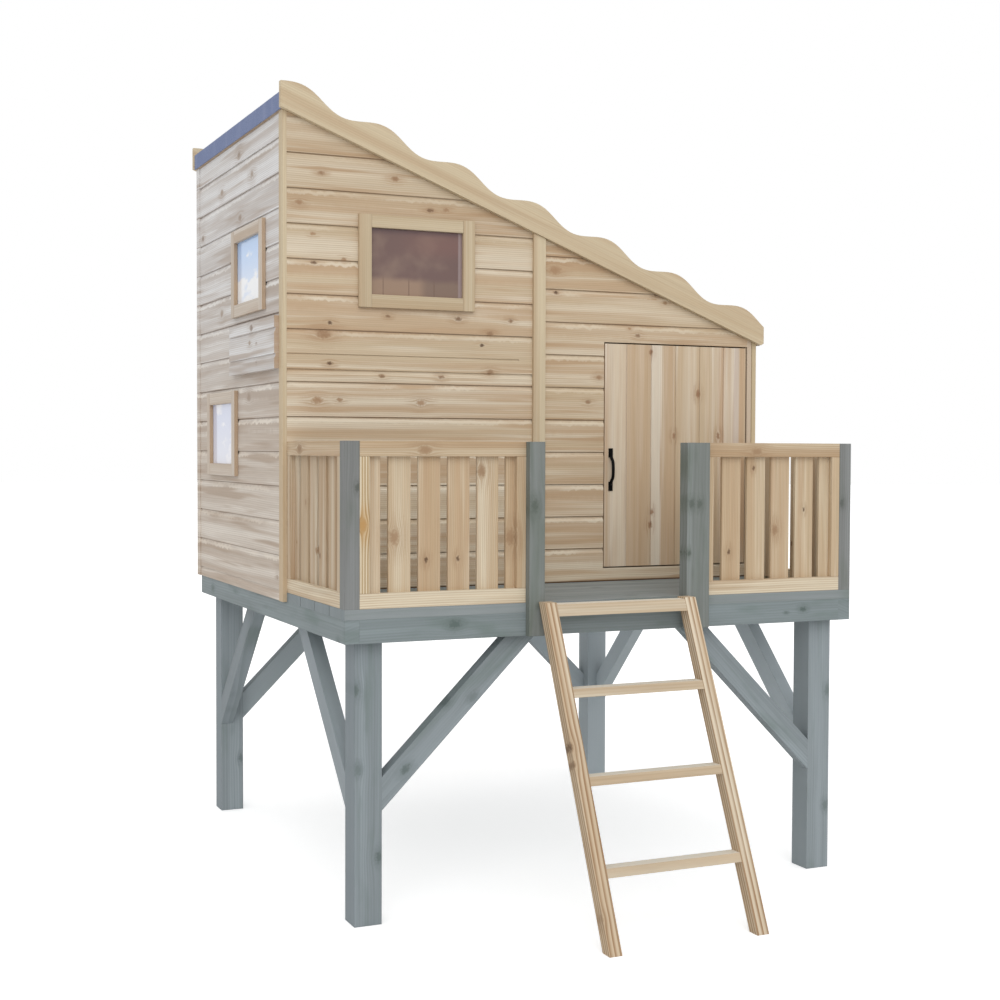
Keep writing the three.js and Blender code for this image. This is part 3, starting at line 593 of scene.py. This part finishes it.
# Down a wall board from the joint above it, in metres: the dark line under the lip, dirt and
# # painted shade, the pale scooped strip with its wavy edge, a painted highlight where the scoop
# # faces up, and the tan strip under it. Each is a soft step
LIP_END = (0.0048, 0.0026)
SCOOP_START = (0.004, 0.012)
SCOOP_END = (0.0225, 0.0175)
SCOOP_WAVE = 0.030
TAN_START = (0.014, 0.028)
TAN_END = (0.060, 0.036)

# The soft edges of a stripe and of an upright strip, and a stripe's sway, in metres
STRIPE_SOFT = 0.006
STRIP_SOFT = 0.0005
STRIPE_SWAY = 0.030

# Strewn knots: their spacing along and across the boards, and their radius, in metres
PINE_STREWN = (0.42, 0.11, 0.008)
PAINT_STREWN = (0.5, 0.09, 0.010)


def light_and_tint_by_facing(g, colour, faces):
    """Mixes tints into the faces that look one way, mostly painted light and shade on faces that
    the light reaches more or less. faces holds directions, each with its tint.
    """
    normal = g.node("ShaderNodeNewGeometry").outputs["Normal"]
    for direction, tint in faces:
        facing = g.step(part_along(g, normal, direction), 0.75, 0.9)
        colour = g.mix(g.times(facing, 0.75), colour, tint)
    return colour


def bare_colour(g, wood, finish, tone, warmth):
    """The colour of one board, from pale over warm to deep, with its growth rings."""
    pale = g.step(g.scaled(tone, 0.26, wood["Wide"]), 0.48, 0.76)
    colour = g.mix(pale, finish.mid, finish.pale)
    warm = g.step(g.scaled(warmth, 0.24, wood["Streak"]), 0.52, 0.78)
    colour = g.mix(g.times(warm, 0.85), colour, finish.warm)
    colour = g.mix(g.times(g.step(wood["Band"], 0.53, 0.70), finish.banding), colour, finish.pale)
    colour = g.mix(g.times(g.step(wood["Band"], 0.48, 0.32), finish.banding), colour, finish.deep)
    late = g.times(wood["Ring"], g.scaled(wood["Blotch"], 0.55, 0.12))
    return g.mix(g.times(late, finish.contrast, clamp=True), colour, finish.late)


def boarded(g, lay, colour, finish, warmth, grid):
    """The colour with the rebated boards' profile drawn in, with painted shade under each lip and
    a painted highlight on each scoop. grid is the first joint, the height above which the joints
    are shifted, and that shift, in metres."""
    along, across, _ = lay
    first, above, shift = grid
    pitch = BOARD_PITCH * MM
    start = g.scaled(g.math("GREATER_THAN", across, above), shift, first)
    under = g.minus(pitch, g.math("MODULO", g.minus(across, start), pitch))
    wave = g.noise(g.combine(g.times(along, 40.0), g.times(across, 9.0)), 1.0, 3.0, 0.6)
    edge = g.scaled(g.minus(wave, 0.5), SCOOP_WAVE, under)
    tan = g.times(g.step(edge, *TAN_END), g.step(under, *TAN_START))
    colour = g.mix(g.times(tan, g.times(warmth, 0.6)), colour, finish.deep)
    there = g.step(g.noise(g.combine(g.times(along, 4.0), g.times(across, 9.0)), 1.0), 0.36, 0.56)
    # A painted highlight on the scooped strip, where it faces up
    scoop_highlight = g.times(g.times(g.step(edge, *SCOOP_END), g.step(edge, *SCOOP_START)), there)
    colour = g.mix(g.times(scoop_highlight, g.scaled(warmth, 0.5, 0.4)), colour, finish.scoop_highlight)
    # Dirt and painted shade in the joint under the lip
    return g.mix(g.times(g.step(under, *LIP_END), 0.5), colour, JOINT_DIRT_AND_SHADE)


def knotted(g, wood, colour, finish):
    """The colour with the stain round each knot, and its dark heart."""
    smudge = g.times(g.step(wood["Halo"], 4.2, 1.2), g.step(wood["Line"], 0.38, 0.62))
    colour = g.mix(g.times(smudge, 0.5), colour, finish.halo)
    core = g.mix(g.step(wood["Dark"], 0.15, 0.9), finish.halo, finish.knot)
    return g.mix(g.times(wood["Knot"], 0.85), colour, core)


def pine(name, axes, finish, seed, knots=None, edges=None, tones=None, attribute=False, rings=150.0,
         share=0.0, grid=None, shades=(), faces=(), strips=(), stripes=()):
    """Bare pine. Places are in metres in the grain's own coordinates. knots are (along, across,
    radius, darkness), or else those of the table. shades are (from, to, tint): the tint comes in
    between the two places across the grain, mostly painted shade. faces are (direction, tint) for
    the planed faces that look that way, mostly painted light and shade. strips are (from, colour):
    beyond that place along the grain, the surface is an upright strip of that colour. stripes are
    (from, to, colour, strength), along the grain."""
    material, g, shader = new_material(name)
    lay = grain(g, axes)
    along, across, _ = lay
    own, tone, warmth = seed, 0.5, 0.5
    if edges:
        own, tone, warmth = board_value(g, across, edges, seed, tones)
    if attribute:
        dice = g.node("ShaderNodeAttribute", attribute_name="piece")
        own, tone, warmth = g.split(dice.outputs["Vector"])
    if edges or attribute:
        own = g.scaled(own, 13.0, seed)
    placed = knots or placed_knots(name, axes)
    wood = grown(g, lay, own, placed, PINE_STREWN, share, rings, finish.drift)
    colour = bare_colour(g, wood, finish, tone, warmth)
    loose = g.scaled(g.minus(wood["Wide"], 0.5), STRIPE_SWAY, across)
    for start, end, tint, strength in stripes:
        begun = g.step(loose, start, start + STRIPE_SOFT)
        inside = g.times(begun, g.step(loose, end, end - STRIPE_SOFT))
        colour = g.mix(g.times(inside, strength), colour, tint)
    colour = fibred(g, wood, colour, 0.30 * finish.lines, 0.16)
    if grid:
        colour = boarded(g, lay, colour, finish, warmth, grid)
    for start, tint in strips:
        upright = g.noise(g.combine(g.times(along, 90.0), g.times(across, 1.6)), 1.0)
        strip = g.shade(tint, g.scaled(upright, 0.24, 0.88))
        colour = g.mix(g.step(along, start - STRIP_SOFT, start + STRIP_SOFT), colour, strip)
    for start, end, tint in shades:
        colour = g.mix(g.step(across, start, end), colour, tint, "MULTIPLY")
    colour = light_and_tint_by_facing(g, colour, faces)
    g.fill(shader, {"Base Color": knotted(g, wood, colour, finish), "Specular IOR Level": 0.28,
                    "Roughness": g.scaled(wood["Ring"], -0.10, 0.72)})
    height = g.scaled(wood["Ring"], 0.6, g.times(wood["Fibre"], 0.5))
    add_relief(g, shader, height, PINE_RELIEF)
    return material


def painted(name, axes, seed, base=(130, 138, 142), share=0.4, faces=()):
    """Grey wood paint: the grain shows through it faintly, and the knots as darker spots."""
    material, g, shader = new_material(name)
    placed = placed_knots(name, axes)
    wood = grown(g, grain(g, axes), seed, placed, PAINT_STREWN, share, 120.0, 0.5)
    red, green, blue = base
    light = (red + 13, green + 14, blue + 15)
    dull = (red - 12, green - 9, blue - 13)
    dark = (red - 42, green - 38, blue - 44)
    colour = g.mix(g.step(wood["Wide"], 0.45, 0.72), base, light)
    colour = g.mix(g.step(wood["Blotch"], 0.50, 0.75), colour, dull)
    colour = g.mix(g.times(wood["Ring"], 0.45), colour, dull)
    colour = fibred(g, wood, colour, 0.34, 0.14)
    colour = g.mix(g.times(g.step(wood["Band"], 0.50, 0.68), 0.5), colour, light)
    colour = g.mix(g.times(g.step(wood["Halo"], 2.6, 1.0), 0.25), colour, dark)
    knot = g.times(wood["Knot"], g.scaled(wood["Dark"], 0.75, 0.2), clamp=True)
    colour = g.mix(knot, colour, dark)
    g.fill(shader, {"Base Color": light_and_tint_by_facing(g, colour, faces), "Specular IOR Level": 0.3,
                    "Roughness": g.scaled(wood["Blotch"], 0.16, 0.58)})
    height = g.scaled(wood["Ring"], 0.7, g.times(wood["Fibre"], 0.35))
    add_relief(g, shader, height, PAINT_RELIEF)
    return material


def named(start):
    """The CAD nodes with this start to their names."""
    return [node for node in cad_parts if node.startswith(start)]


def dress(material, *nodes):
    """Gives carried-over CAD nodes their material."""
    for node in nodes:
        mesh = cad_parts[node].data
        mesh.materials.clear()
        mesh.materials.append(material)
        for polygon in mesh.polygons:
            polygon.material_index = 0


# New pieces

def new_piece(name, bm, body, materials, nodes=()):
    piece = meshed(name, bm, *materials)
    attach(piece, body)
    if nodes:
        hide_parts(*nodes)


def add_bar(bm, low, high, values, index):
    """A planed bar with eased edges. values is its seed, tone and warmth."""
    layers = bm.verts.layers.float_vector
    layer = layers.get("piece") or layers.new("piece")
    low, high = Vector(low), Vector(high)
    made = bmesh.ops.create_cube(bm, size=1.0)
    for vert in made["verts"]:
        vert.co = Vector((low[i] if vert.co[i] < 0 else high[i] for i in range(3)))
    edges = list({edge for vert in made["verts"] for edge in vert.link_edges})
    faces = bmesh.ops.bevel(bm, geom=edges, offset=BAR_EDGE, segments=2, profile=0.5, affect="EDGES")
    touched = {v for f in faces["faces"] for v in f.verts}
    touched |= {v for vert in touched for e in vert.link_edges for v in e.verts}
    for vert in touched:
        vert[layer] = Vector(values)
    for face in {f for vert in touched for f in vert.link_faces}:
        face.material_index = index


# Walls

# The front left wall's narrow board, and the joint that its upper boards are counted from, in
# millimetres on the building
NARROW_JOINT = 1661
UPPER_JOINT = 1790.5

# The first joint, the height above which the joints are shifted, which no wall reaches in the
# plain grid, and that shift, in metres
PLAIN_GRID = (FIRST_JOINT * MM, 9.0, 0.0)
SHIFTED_GRID = (FIRST_JOINT * MM, 1.70, -0.0555)

# Tints that come in between two heights, in metres, all painted shade: the front walls' tops and
# # the left wall's foot darker and warmer, to even out their light. The last one is a painted
# # shadow line where the front walls meet the balcony floor
FRONT_LEFT_TOP_SHADE = (1.95, 2.25, (240, 236, 231))
FRONT_RIGHT_TOP_SHADE = (1.05, 1.5, (249, 246, 242))
LEFT_FOOT_SHADE = (2.12, 1.30, (247, 238, 226))
FOOT_SHADOW_LINE = (0.9475, 0.9425, (118, 102, 90))

# The upright strip right of the door, in two parts: each part's left edge, in metres, and colour
END_STRIPS = [(0.856, (205, 188, 168)), (0.8745, (200, 183, 152))]

# The door's boards start this far from its left edge, in millimetres. Its pale and tan stripes
# are in metres from the frame's middle
DOOR_JOINTS = (0, 85, 185, 231, 280, 438, 538)
DOOR_STRIPES = [(0.300, 0.352, (219, 203, 178), 0.5), (0.356, 0.450, (193, 164, 131), 0.5),
                (0.453, 0.495, (225, 216, 199), 0.7), (0.500, 0.552, (193, 165, 134), 0.5),
                (0.560, 0.700, (204, 184, 155), 0.5), (0.800, 0.825, (203, 190, 180), 0.6)]

# The heights at which the cover board's colour changes, in metres
COVER_JOINTS = [1.662, 1.711, 1.795]

# The narrow edges of the left wall's trims that look to the front are browner: partly the end
# # grain's own colour, and partly painted shade
FRONT_EDGE_GRAIN_AND_SHADE = [(TO_FRONT, (178, 150, 120))]


def heights(first, last, start=FIRST_JOINT):
    """The heights of the board joints, in metres."""
    return [(start + index * BOARD_PITCH) * MM for index in range(first, last)]


def dress_walls():
    left_joints = heights(1, 7) + [NARROW_JOINT * MM] + heights(0, 7, UPPER_JOINT)
    # The boards from 1.40 to 1.62 metres have paler tones: painted light against the balcony's shade
    dress(pine("pine_front_left", "X", FRONT, 3.0, edges=left_joints, grid=SHIFTED_GRID,
               tones=[0.5, 0.5, 0.5, 0.55, 0.7, 0.85, 0.3, 0.1, 0.2, 0.45, 0.5, 0.5, 0.45, 0.45, 0.35],
               shades=[FRONT_LEFT_TOP_SHADE, FOOT_SHADOW_LINE]), "wall_front_left")
    # The lower boards have paler tones: painted light, against the shade of the rails and posts in
    # front
    dress(pine("pine_front_right", "X", FRONT, 5.0, edges=heights(1, 14), share=0.15, grid=PLAIN_GRID,
               tones=[0.9, 0.9, 0.85, 0.8, 0.7, 0.6, 0.5, 0.55] + [0.5] * 6,
               shades=[FRONT_RIGHT_TOP_SHADE, FOOT_SHADOW_LINE], strips=END_STRIPS), "wall_front_right")
    dress(pine("pine_left", "Y", SIDE, 7.0, edges=heights(0, 14), share=0.15, grid=PLAIN_GRID,
               shades=[LEFT_FOOT_SHADE]), "wall_left")
    dress(pine("pine_right", "Y", FRONT, 11.0, edges=heights(0, 10), share=0.2, grid=PLAIN_GRID),
          "wall_right")
    dress(pine("pine_back", "X", FRONT, 13.0, edges=heights(0, 14), share=0.2, grid=PLAIN_GRID),
          "wall_back")
    dress(pine("pine_batten", "Z", TRIM, 17.0, share=0.1, rings=190.0), "batten_front")
    dress(pine("pine_corner", "Z side", TRIM, 19.0, share=0.1, rings=190.0), "trim_front_left")
    dress(pine("pine_cover", "Y", SIDE, 23.0, edges=COVER_JOINTS, tones=[0.4, 0.2, 0.3, 0.3], share=0.1,
               faces=FRONT_EDGE_GRAIN_AND_SHADE), "cover_board_left")
    door_joints = [(DOOR_LEFT + at) * MM + CORNER.x for at in DOOR_JOINTS]
    dress(pine("pine_door", "Z", DOOR, 29.0, edges=door_joints, stripes=DOOR_STRIPES,
               tones=[0.4, 0.9, 0.0, 1.0, 0.1, 0.3, 0.7, 0.3]), "door_leaf")


# Rail panels: separate rails, stiles and slats

# A panel, its members, and its slats, which sink into the rails, stand proud of them and end
# short of the panel's foot and top, in millimetres
PANEL_HEIGHT = 487
PANEL_DEPTH = 20
PANEL_RAIL = 45
PANEL_STILE = 31
SLAT_WIDTH = 70
SLAT_PITCH = 94
SLAT_SUNK = 2
SLAT_PROUD = 10
SLAT_END = 10

# Where the panels lie on the building, in millimetres
FRONT_LEFT_START = 45
FRONT_LEFT_LENGTH = 530
FRONT_RIGHT_START = 1206
FRONT_RIGHT_LENGTH = 519
SIDE_START = 45
SIDE_LENGTH = 541
PLATFORM_WIDTH = 1770
FLOOR_HEIGHT = 940

# Where each panel's first slat starts, from the panel's own end
FIRST_SLAT = {"rail_panel_front_left": 0, "rail_panel_front_right": 73, "rail_panel_left": 1,
              "rail_panel_right": 0}

# The top rails are tinted by height, and the side slats, which lie past both places, all over: a
# # slightly darker, cooler painted shade on the slats that face the side light
TOP_RAIL_TINT = (1.30, 1.36, (243, 239, 234))
SIDE_SLAT_SHADE = (-1.2, -1.1, (247, 247, 249))


def panel_bars(length, first_slat):
    """The bars of a rail panel in its own millimetres: low corner, high corner, kind."""
    under_top = PANEL_HEIGHT - PANEL_RAIL
    bars = [
        ((0, 0, 0), (length, PANEL_DEPTH, PANEL_RAIL), "foot"),
        ((0, 0, under_top), (length, PANEL_DEPTH, PANEL_HEIGHT), "rail"),
        ((0, 0, PANEL_RAIL), (PANEL_STILE, PANEL_DEPTH, under_top), "stile"),
        ((length - PANEL_STILE, 0, PANEL_RAIL), (length, PANEL_DEPTH, under_top), "stile"),
    ]
    for start in range(first_slat, length, SLAT_PITCH):
        low = (start, PANEL_DEPTH - SLAT_SUNK, SLAT_END)
        end = min(start + SLAT_WIDTH, length)
        bars.append((low, (end, PANEL_DEPTH + SLAT_PROUD, PANEL_HEIGHT - SLAT_END), "slat"))
    return bars


def add_rail_panels():
    front = [pine("rail_front", "X", RAIL, 31.0, attribute=True, share=0.1, shades=[TOP_RAIL_TINT]),
             pine("slat_front", "Z", RAIL, 37.0, attribute=True, share=0.25, rings=200.0)]
    side = [pine("rail_side", "Y", RAIL, 41.0, attribute=True, share=0.1),
            pine("slat_side", "Z side", RAIL, 43.0, attribute=True, share=0.25, rings=200.0,
                 shades=[SIDE_SLAT_SHADE])]
    wavy = pine("stile_wavy", "Z", STILE, 45.0, rings=125.0)
    panels = [
        ("rail_panel_front_left", FRONT_LEFT_LENGTH, lambda x, y: (FRONT_LEFT_START + x, y),
         [*front, wavy]),
        ("rail_panel_front_right", FRONT_RIGHT_LENGTH, lambda x, y: (FRONT_RIGHT_START + x, y), front),
        ("rail_panel_left", SIDE_LENGTH, lambda x, y: (y, SIDE_START + SIDE_LENGTH - x), side),
        ("rail_panel_right", SIDE_LENGTH, lambda x, y: (PLATFORM_WIDTH - y, SIDE_START + x), side),
    ]
    for node, length, turn, materials in panels:
        rng = random.Random(node)
        bm = bmesh.new()
        for low, high, kind in panel_bars(length, FIRST_SLAT[node]):
            corners = [place(*turn(p[0], p[1]), FLOOR_HEIGHT + p[2]) for p in (low, high)]
            lowest = [min(a, b) for a, b in zip(*corners)]
            highest = [max(a, b) for a, b in zip(*corners)]
            seed, tone, warmth = rng.random(), rng.uniform(0.15, 0.5), rng.uniform(0.3, 0.8)
            if kind == "foot":
                tone, warmth = 1.6, 0.0
            index = 0 if kind in ("foot", "rail") else 1
            if kind == "stile" and low[0] == 0:
                index = len(materials) - 1
            add_bar(bm, lowest, highest, (seed, tone, warmth), index)
        new_piece(node + "_bars", bm, "house", materials, [node])


# Windows

# The width of a frame's members, in metres
FRAME_MEMBER = 43 * MM

# The boards seen through the front pane, the line between two, and what is added to a place so
# that it is above zero, in metres
ROOM_BOARD = 0.09
ROOM_SEAM = (0.006, 0.002)
PAST_ZERO = 2.0

# The heights between which the side panes' painted sky reflection turns bluer, in metres
UPPER_SKY = (1.90, 2.12)
LOWER_SKY = (1.34, 1.57)


def even_dice(rng):
    """A seed of its own for a bar whose tone and warmth stay close to its neighbours'."""
    return rng.random(), rng.uniform(0.35, 0.65), rng.uniform(0.35, 0.65)


def add_window_frames():
    front = [pine("frame_front_rail", "X", FRAME, 47.0, attribute=True),
             pine("frame_front_stile", "Z", FRAME, 53.0, attribute=True)]
    side = [pine("frame_side_rail", "Y", SIDE_FRAME, 59.0, attribute=True, faces=FRONT_EDGE_GRAIN_AND_SHADE),
            pine("frame_side_stile", "Z side", SIDE_FRAME, 61.0, attribute=True, faces=FRONT_EDGE_GRAIN_AND_SHADE)]
    for node, run, materials in [("window_frame_front", 0, front), ("window_frame_left_upper", 1, side),
                                 ("window_frame_left_lower", 1, side)]:
        low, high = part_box(node)
        rng = random.Random(node)
        bm = bmesh.new()
        for end in (low[run], high[run] - FRAME_MEMBER):
            a, b = low.copy(), high.copy()
            a[run], b[run] = end, end + FRAME_MEMBER
            add_bar(bm, a, b, even_dice(rng), 1)
        for foot in (low.z, high.z - FRAME_MEMBER):
            a, b = low.copy(), high.copy()
            a[run], b[run] = low[run] + FRAME_MEMBER, high[run] - FRAME_MEMBER
            a.z, b.z = foot, foot + FRAME_MEMBER
            add_bar(bm, a, b, even_dice(rng), 0)
        new_piece(node + "_bars", bm, "house", materials, [node])


def sheet_shader(name, alpha):
    material, g, shader = new_material(name)
    g.fill(shader, {"Roughness": 0.08, "Alpha": alpha})
    return material, g, shader, g.object_place()


def room_shade_sheet():
    """The front pane is painted with the dim room behind it, in mauve and brown: painted shade,
    with boards along its foot that are greyer to the right, a painted darker top and a painted
    pale highlight strip at its right edge."""
    material, g, shader, here = sheet_shader("sheet_front", 0.86)
    low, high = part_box("window_pane_front")
    x, _, z = g.split(here)
    run = g.math("DIVIDE", g.minus(x, low.x), high.x - low.x)
    rise = g.math("DIVIDE", g.minus(z, low.z), high.z - low.z)
    patch = g.noise(here, 8.0, 3.0, 0.5)
    colour = g.mix(g.step(patch, 0.38, 0.64), (121, 96, 91), (142, 118, 106))
    warm = g.times(g.step(rise, 0.50, 0.75), g.step(run, 0.20, 0.70))
    colour = g.mix(g.times(warm, 0.6), colour, (136, 101, 94))
    # A darker top: painted shade
    colour = g.mix(g.times(g.step(rise, 0.86, 0.97), 0.6), colour, (106, 82, 88))
    edge = g.scaled(g.noise(here, 14.0, 2.0), 0.08, rise)
    foot = g.step(edge, 0.36, 0.24)
    board = g.mix(g.step(run, 0.50, 0.62), (163, 136, 115), (137, 114, 100))
    colour = g.mix(foot, colour, board)
    boards = g.math("MODULO", g.plus(x, PAST_ZERO), ROOM_BOARD)
    seam = g.times(g.step(boards, *ROOM_SEAM), foot)
    colour = g.mix(g.times(seam, 0.5), colour, (112, 86, 74))
    # A pale strip at the right edge: a painted highlight
    colour = g.mix(g.times(g.step(run, 0.930, 0.945), 0.8), colour, (168, 150, 150))
    g.put(shader.inputs["Base Color"], colour)
    return material


def sky_reflection_sheet(name, low, high, between, cloud, share, fall):
    """A side pane with a painted reflection of a soft sky, bluer towards its top, and white clouds,
    which are held back by share at its foot, and further by fall at its top."""
    material, g, shader, here = sheet_shader(name, 0.94)
    _, side, rise = g.split(here)
    puffs = g.noise(g.combine(g.times(side, 0.4), rise), 11.0, 4.0, 0.5)
    up = g.step(rise, *between)
    colour = g.mix(up, low, high)
    drift = g.scaled(up, -fall, puffs)
    colour = g.mix(g.step(drift, share, share + 0.08), colour, cloud)
    g.put(shader.inputs["Base Color"], colour)
    return material


def dress_panes():
    dress(room_shade_sheet(), "window_pane_front")
    dress(sky_reflection_sheet("sheet_upper", (232, 240, 255), (184, 215, 255), UPPER_SKY, (252, 253, 255),
                    0.36, 0.24), "window_pane_left_upper")
    dress(sky_reflection_sheet("sheet_lower", (236, 238, 250), (220, 226, 248), LOWER_SKY, (248, 248, 255),
                    0.46, 0.10), "window_pane_left_lower")


# Painted platform and posts

# The legs' paint, and the tints of faces, both with painted light: the legs in the shade under the
# # platform have a paler paint than the front left one, and faces that look into that shade are
# # painted paler still. The left legs' left faces are painted darker, as painted shade
LIFTED_LEG_PAINT = (139, 147, 151)
LEG_LEFT_SHADE = [(TO_LEFT, (124, 133, 138))]
LEGS = {
    "leg_front_left": ((133, 141, 145), LEG_LEFT_SHADE),
    "leg_front_right": (LIFTED_LEG_PAINT, [(TO_LEFT, (146, 155, 159))]),
    "leg_back_left": ((145, 153, 157), LEG_LEFT_SHADE),
    "leg_back_right": (LIFTED_LEG_PAINT, [(TO_LEFT, (172, 181, 185)), (TO_FRONT, (190, 200, 205))]),
}
# The braces' grain and their painted light and shade: faces that look into the shade under the platform
# are painted paler, and the left back brace's left face darker
BRACES = {
    "brace_front_left": ("up right", []),
    "brace_back_left": ("up right", [(TO_FRONT, (188, 198, 202))]),
    "brace_front_right": ("up left", []),
    "brace_back_right": ("up left", [(TO_FRONT, (198, 208, 213))]),
    "brace_left_front": ("up back", [(TO_LEFT, (147, 155, 160)), (FRONT_AND_UP, (160, 169, 173))]),
    "brace_right_front": ("up back", [(TO_LEFT, (205, 215, 220)), (FRONT_AND_UP, (195, 205, 210))]),
    "brace_left_back": ("up front", [(TO_LEFT, (121, 129, 133))]),
    "brace_right_back": ("up front", [(TO_LEFT, (202, 212, 217)), (FRONT_AND_DOWN, (190, 200, 204))]),
}


def dress_platform():
    for name, end, seed, base in (("paint_post", "front", 1.0, (124, 125, 124)),
                                  ("paint_ladder_post", "ladder", 1.4, (121, 125, 122))):
        post = painted(name, "Z", seed, base=base, share=0.2)
        dress(post, *named(f"post_{end}_"))
    seed = 2.0
    for node, (base, faces) in LEGS.items():
        dress(painted("paint_" + node, "Z", seed, base=base, faces=faces), node)
        seed += 1.7
    dress(painted("paint_beam_front", "X", 4.1, base=(127, 136, 138)), "beam_front")
    # The back beam's front face, in the shade under the platform, is painted paler: painted light
    dress(painted("paint_beam_back", "X", 5.3, faces=[(TO_FRONT, (155, 165, 169))]), "beam_back")
    for node in ("beam_left", "beam_right", "joist_middle"):
        dress(painted("paint_" + node, "Y", seed, base=(126, 135, 137)), node)
        seed += 1.3
    # The deck's left ends are painted a darker grey: painted shade, which also evens out the seams
    deck = painted("paint_deck", "X flat", 8.2, base=(134, 140, 141),
                   faces=[(TO_LEFT, (124, 133, 136))])
    dress(deck, *named("deck_board_"), "house_floor")
    for node, (axes, faces) in BRACES.items():
        dress(painted("paint_" + node, axes, seed, base=(135, 143, 147), faces=faces), node)
        seed += 0.9


# Ladder

# Between these places each stringer and rung has a grain of its own. The left stringer's knots
# are in metres along and across it
BETWEEN_STRINGERS = [0.0]
BETWEEN_RUNGS = [0.3, 0.55, 0.8]
STRINGER_KNOTS = [(0.128, -0.283, 0.010, 0.7), (0.076, -0.282, 0.007, 0.5)]


def dress_ladder():
    dress(pine("pine_stringer", "ladder", LADDER, 67.0, share=0.1, rings=160.0, edges=BETWEEN_STRINGERS,
               tones=[0.45, 0.6], knots=STRINGER_KNOTS), *named("ladder_stringer_"))
    # The rungs' tops are painted paler: a painted highlight from the light above
    rung = pine("pine_rung", "X", RUNG, 71.0, edges=BETWEEN_RUNGS,
                faces=[(TO_SKY, (234, 228, 214))])
    dress(rung, *named("ladder_rung_"))


# Roof

# Down the slope from the frame's middle: where the upper strip of felt ends, and past that the
# # painted shadow line's start and end under the lap, and the step in height, in metres
FELT_LAP = -0.80
LAP_SHADOW_START = (-0.001, 0.0005)
LAP_SHADOW_END = (0.006, 0.001)
LAP_STEP = (0.001, 0.0)


def felt_material():
    """Mineral felt in two strips from front to back. The upper one laps over the lower, with a
    painted shadow line under its edge.
    """
    material, g, shader = new_material("felt_blue_grey")
    here = g.object_place()
    grit = g.noise(here, 900.0, 2.0, 0.7)
    patch = g.noise(here, 9.0, 3.0)
    slope, across, _ = grain(g, "roof flat")
    streak = g.noise(g.combine(g.times(slope, 1.2), g.times(across, 14.0)), 1.0, 3.0)
    colour = g.mix(g.step(grit, 0.38, 0.66), (114, 126, 157), (141, 151, 184))
    colour = g.mix(g.times(g.step(patch, 0.4, 0.7), 0.45), colour, (119, 130, 164))
    worn = g.times(g.step(streak, 0.48, 0.72), 0.35)
    colour = g.mix(worn, colour, (150, 158, 186))
    past = g.minus(slope, FELT_LAP)
    # A painted shadow line under the upper strip's edge
    line = g.times(g.step(past, *LAP_SHADOW_START), g.step(past, *LAP_SHADOW_END))
    colour = g.mix(g.times(line, 0.6), colour, (66, 74, 98))
    g.fill(shader, {"Base Color": colour, "Roughness": 0.95, "Specular IOR Level": 0.15})
    height = g.scaled(g.step(past, *LAP_STEP), 2.5, grit)
    add_relief(g, shader, height, FELT_RELIEF)
    return material


def dress_roof():
    dress(felt_material(), "roof_felt")
    # The roof panel's underside is painted darker: painted shade under the roof
    dress(pine("pine_roof", "X flat", FRONT, 73.0, share=0.35,
               faces=[(TO_GROUND, (138, 116, 98))]), "roof_panel")
    dress(pine("pine_barge", "roof", TRIM, 79.0, rings=130.0), *named("barge_board_"))


# Metal

# The two screws on the door handle, in millimetres on the building
SCREW_X = 1178
SCREW_PLANE = 585
SCREW_HEIGHTS = (1267, 1401)
SCREW_RADIUS = 2.6
SCREW_DOME = 1.2
SCREW_SIDES = 16
# The dome's outline and the cross in it, as parts of the radius and of the height
DOME = [(1.0, 0.0), (0.97, 0.45), (0.8, 0.8), (0.5, 1.0)]
CROSS_DEPTH = 0.55
MIDDLE_HEIGHT = 0.4


def metal(name, colour, rough, metallic, specks, specular=0.5):
    material, g, shader = new_material(name)
    worn = g.noise(g.object_place(), specks, 3.0, 0.6)
    shade = [min(255, c + 8) for c in colour]
    g.fill(shader, {"Base Color": g.mix(g.step(worn, 0.45, 0.75), colour, shade), "Metallic": metallic,
                    "Roughness": g.scaled(worn, 0.2, rough), "Specular IOR Level": specular})
    add_relief(g, shader, worn, METAL_RELIEF)
    return material


def add_screw_head(bm, centre):
    """A domed head that looks to the front, with a cross in it."""
    turn = Vector(TO_FRONT).to_track_quat("Z", "Y")
    radius = SCREW_RADIUS * MM
    height = SCREW_DOME * MM
    loops = []
    for wide, up in DOME:
        loop = []
        for i in range(SCREW_SIDES):
            angle = math.tau * i / SCREW_SIDES
            in_cross = (wide, up) == DOME[-1] and i % 4 == 0
            rise = up - CROSS_DEPTH if in_cross else up
            x, y = math.cos(angle) * radius * wide, math.sin(angle) * radius * wide
            loop.append(bm.verts.new(centre + turn @ Vector((x, y, height * rise))))
        loops.append(loop)
    for low, high in zip(loops, loops[1:]):
        for i in range(SCREW_SIDES):
            j = (i + 1) % SCREW_SIDES
            bm.faces.new((low[i], low[j], high[j], high[i]))
    middle = bm.verts.new(centre + turn @ Vector((0, 0, height * MIDDLE_HEIGHT)))
    for i in range(SCREW_SIDES):
        bm.faces.new((loops[-1][i], loops[-1][(i + 1) % SCREW_SIDES], middle))


def dress_metal():
    black = metal("black_satin", (3, 3, 3), 0.5, 0.0, 260.0, specular=0.12)
    zinc = metal("zinc_plate", (168, 171, 176), 0.32, 0.9, 120.0)
    dress(black, "door_handle")
    dress(zinc, *named("hinge_"))
    bm = bmesh.new()
    for height in SCREW_HEIGHTS:
        add_screw_head(bm, place(SCREW_X, SCREW_PLANE, height))
    new_piece("handle_screws", bm, "door", [black])


add_camera()
add_world()
add_sun()
add_floor()
dress_walls()
add_rail_panels()
add_window_frames()
dress_panes()
dress_platform()
dress_ladder()
dress_roof()
dress_metal()

bpy.context.scene.view_settings.view_transform = "Standard"
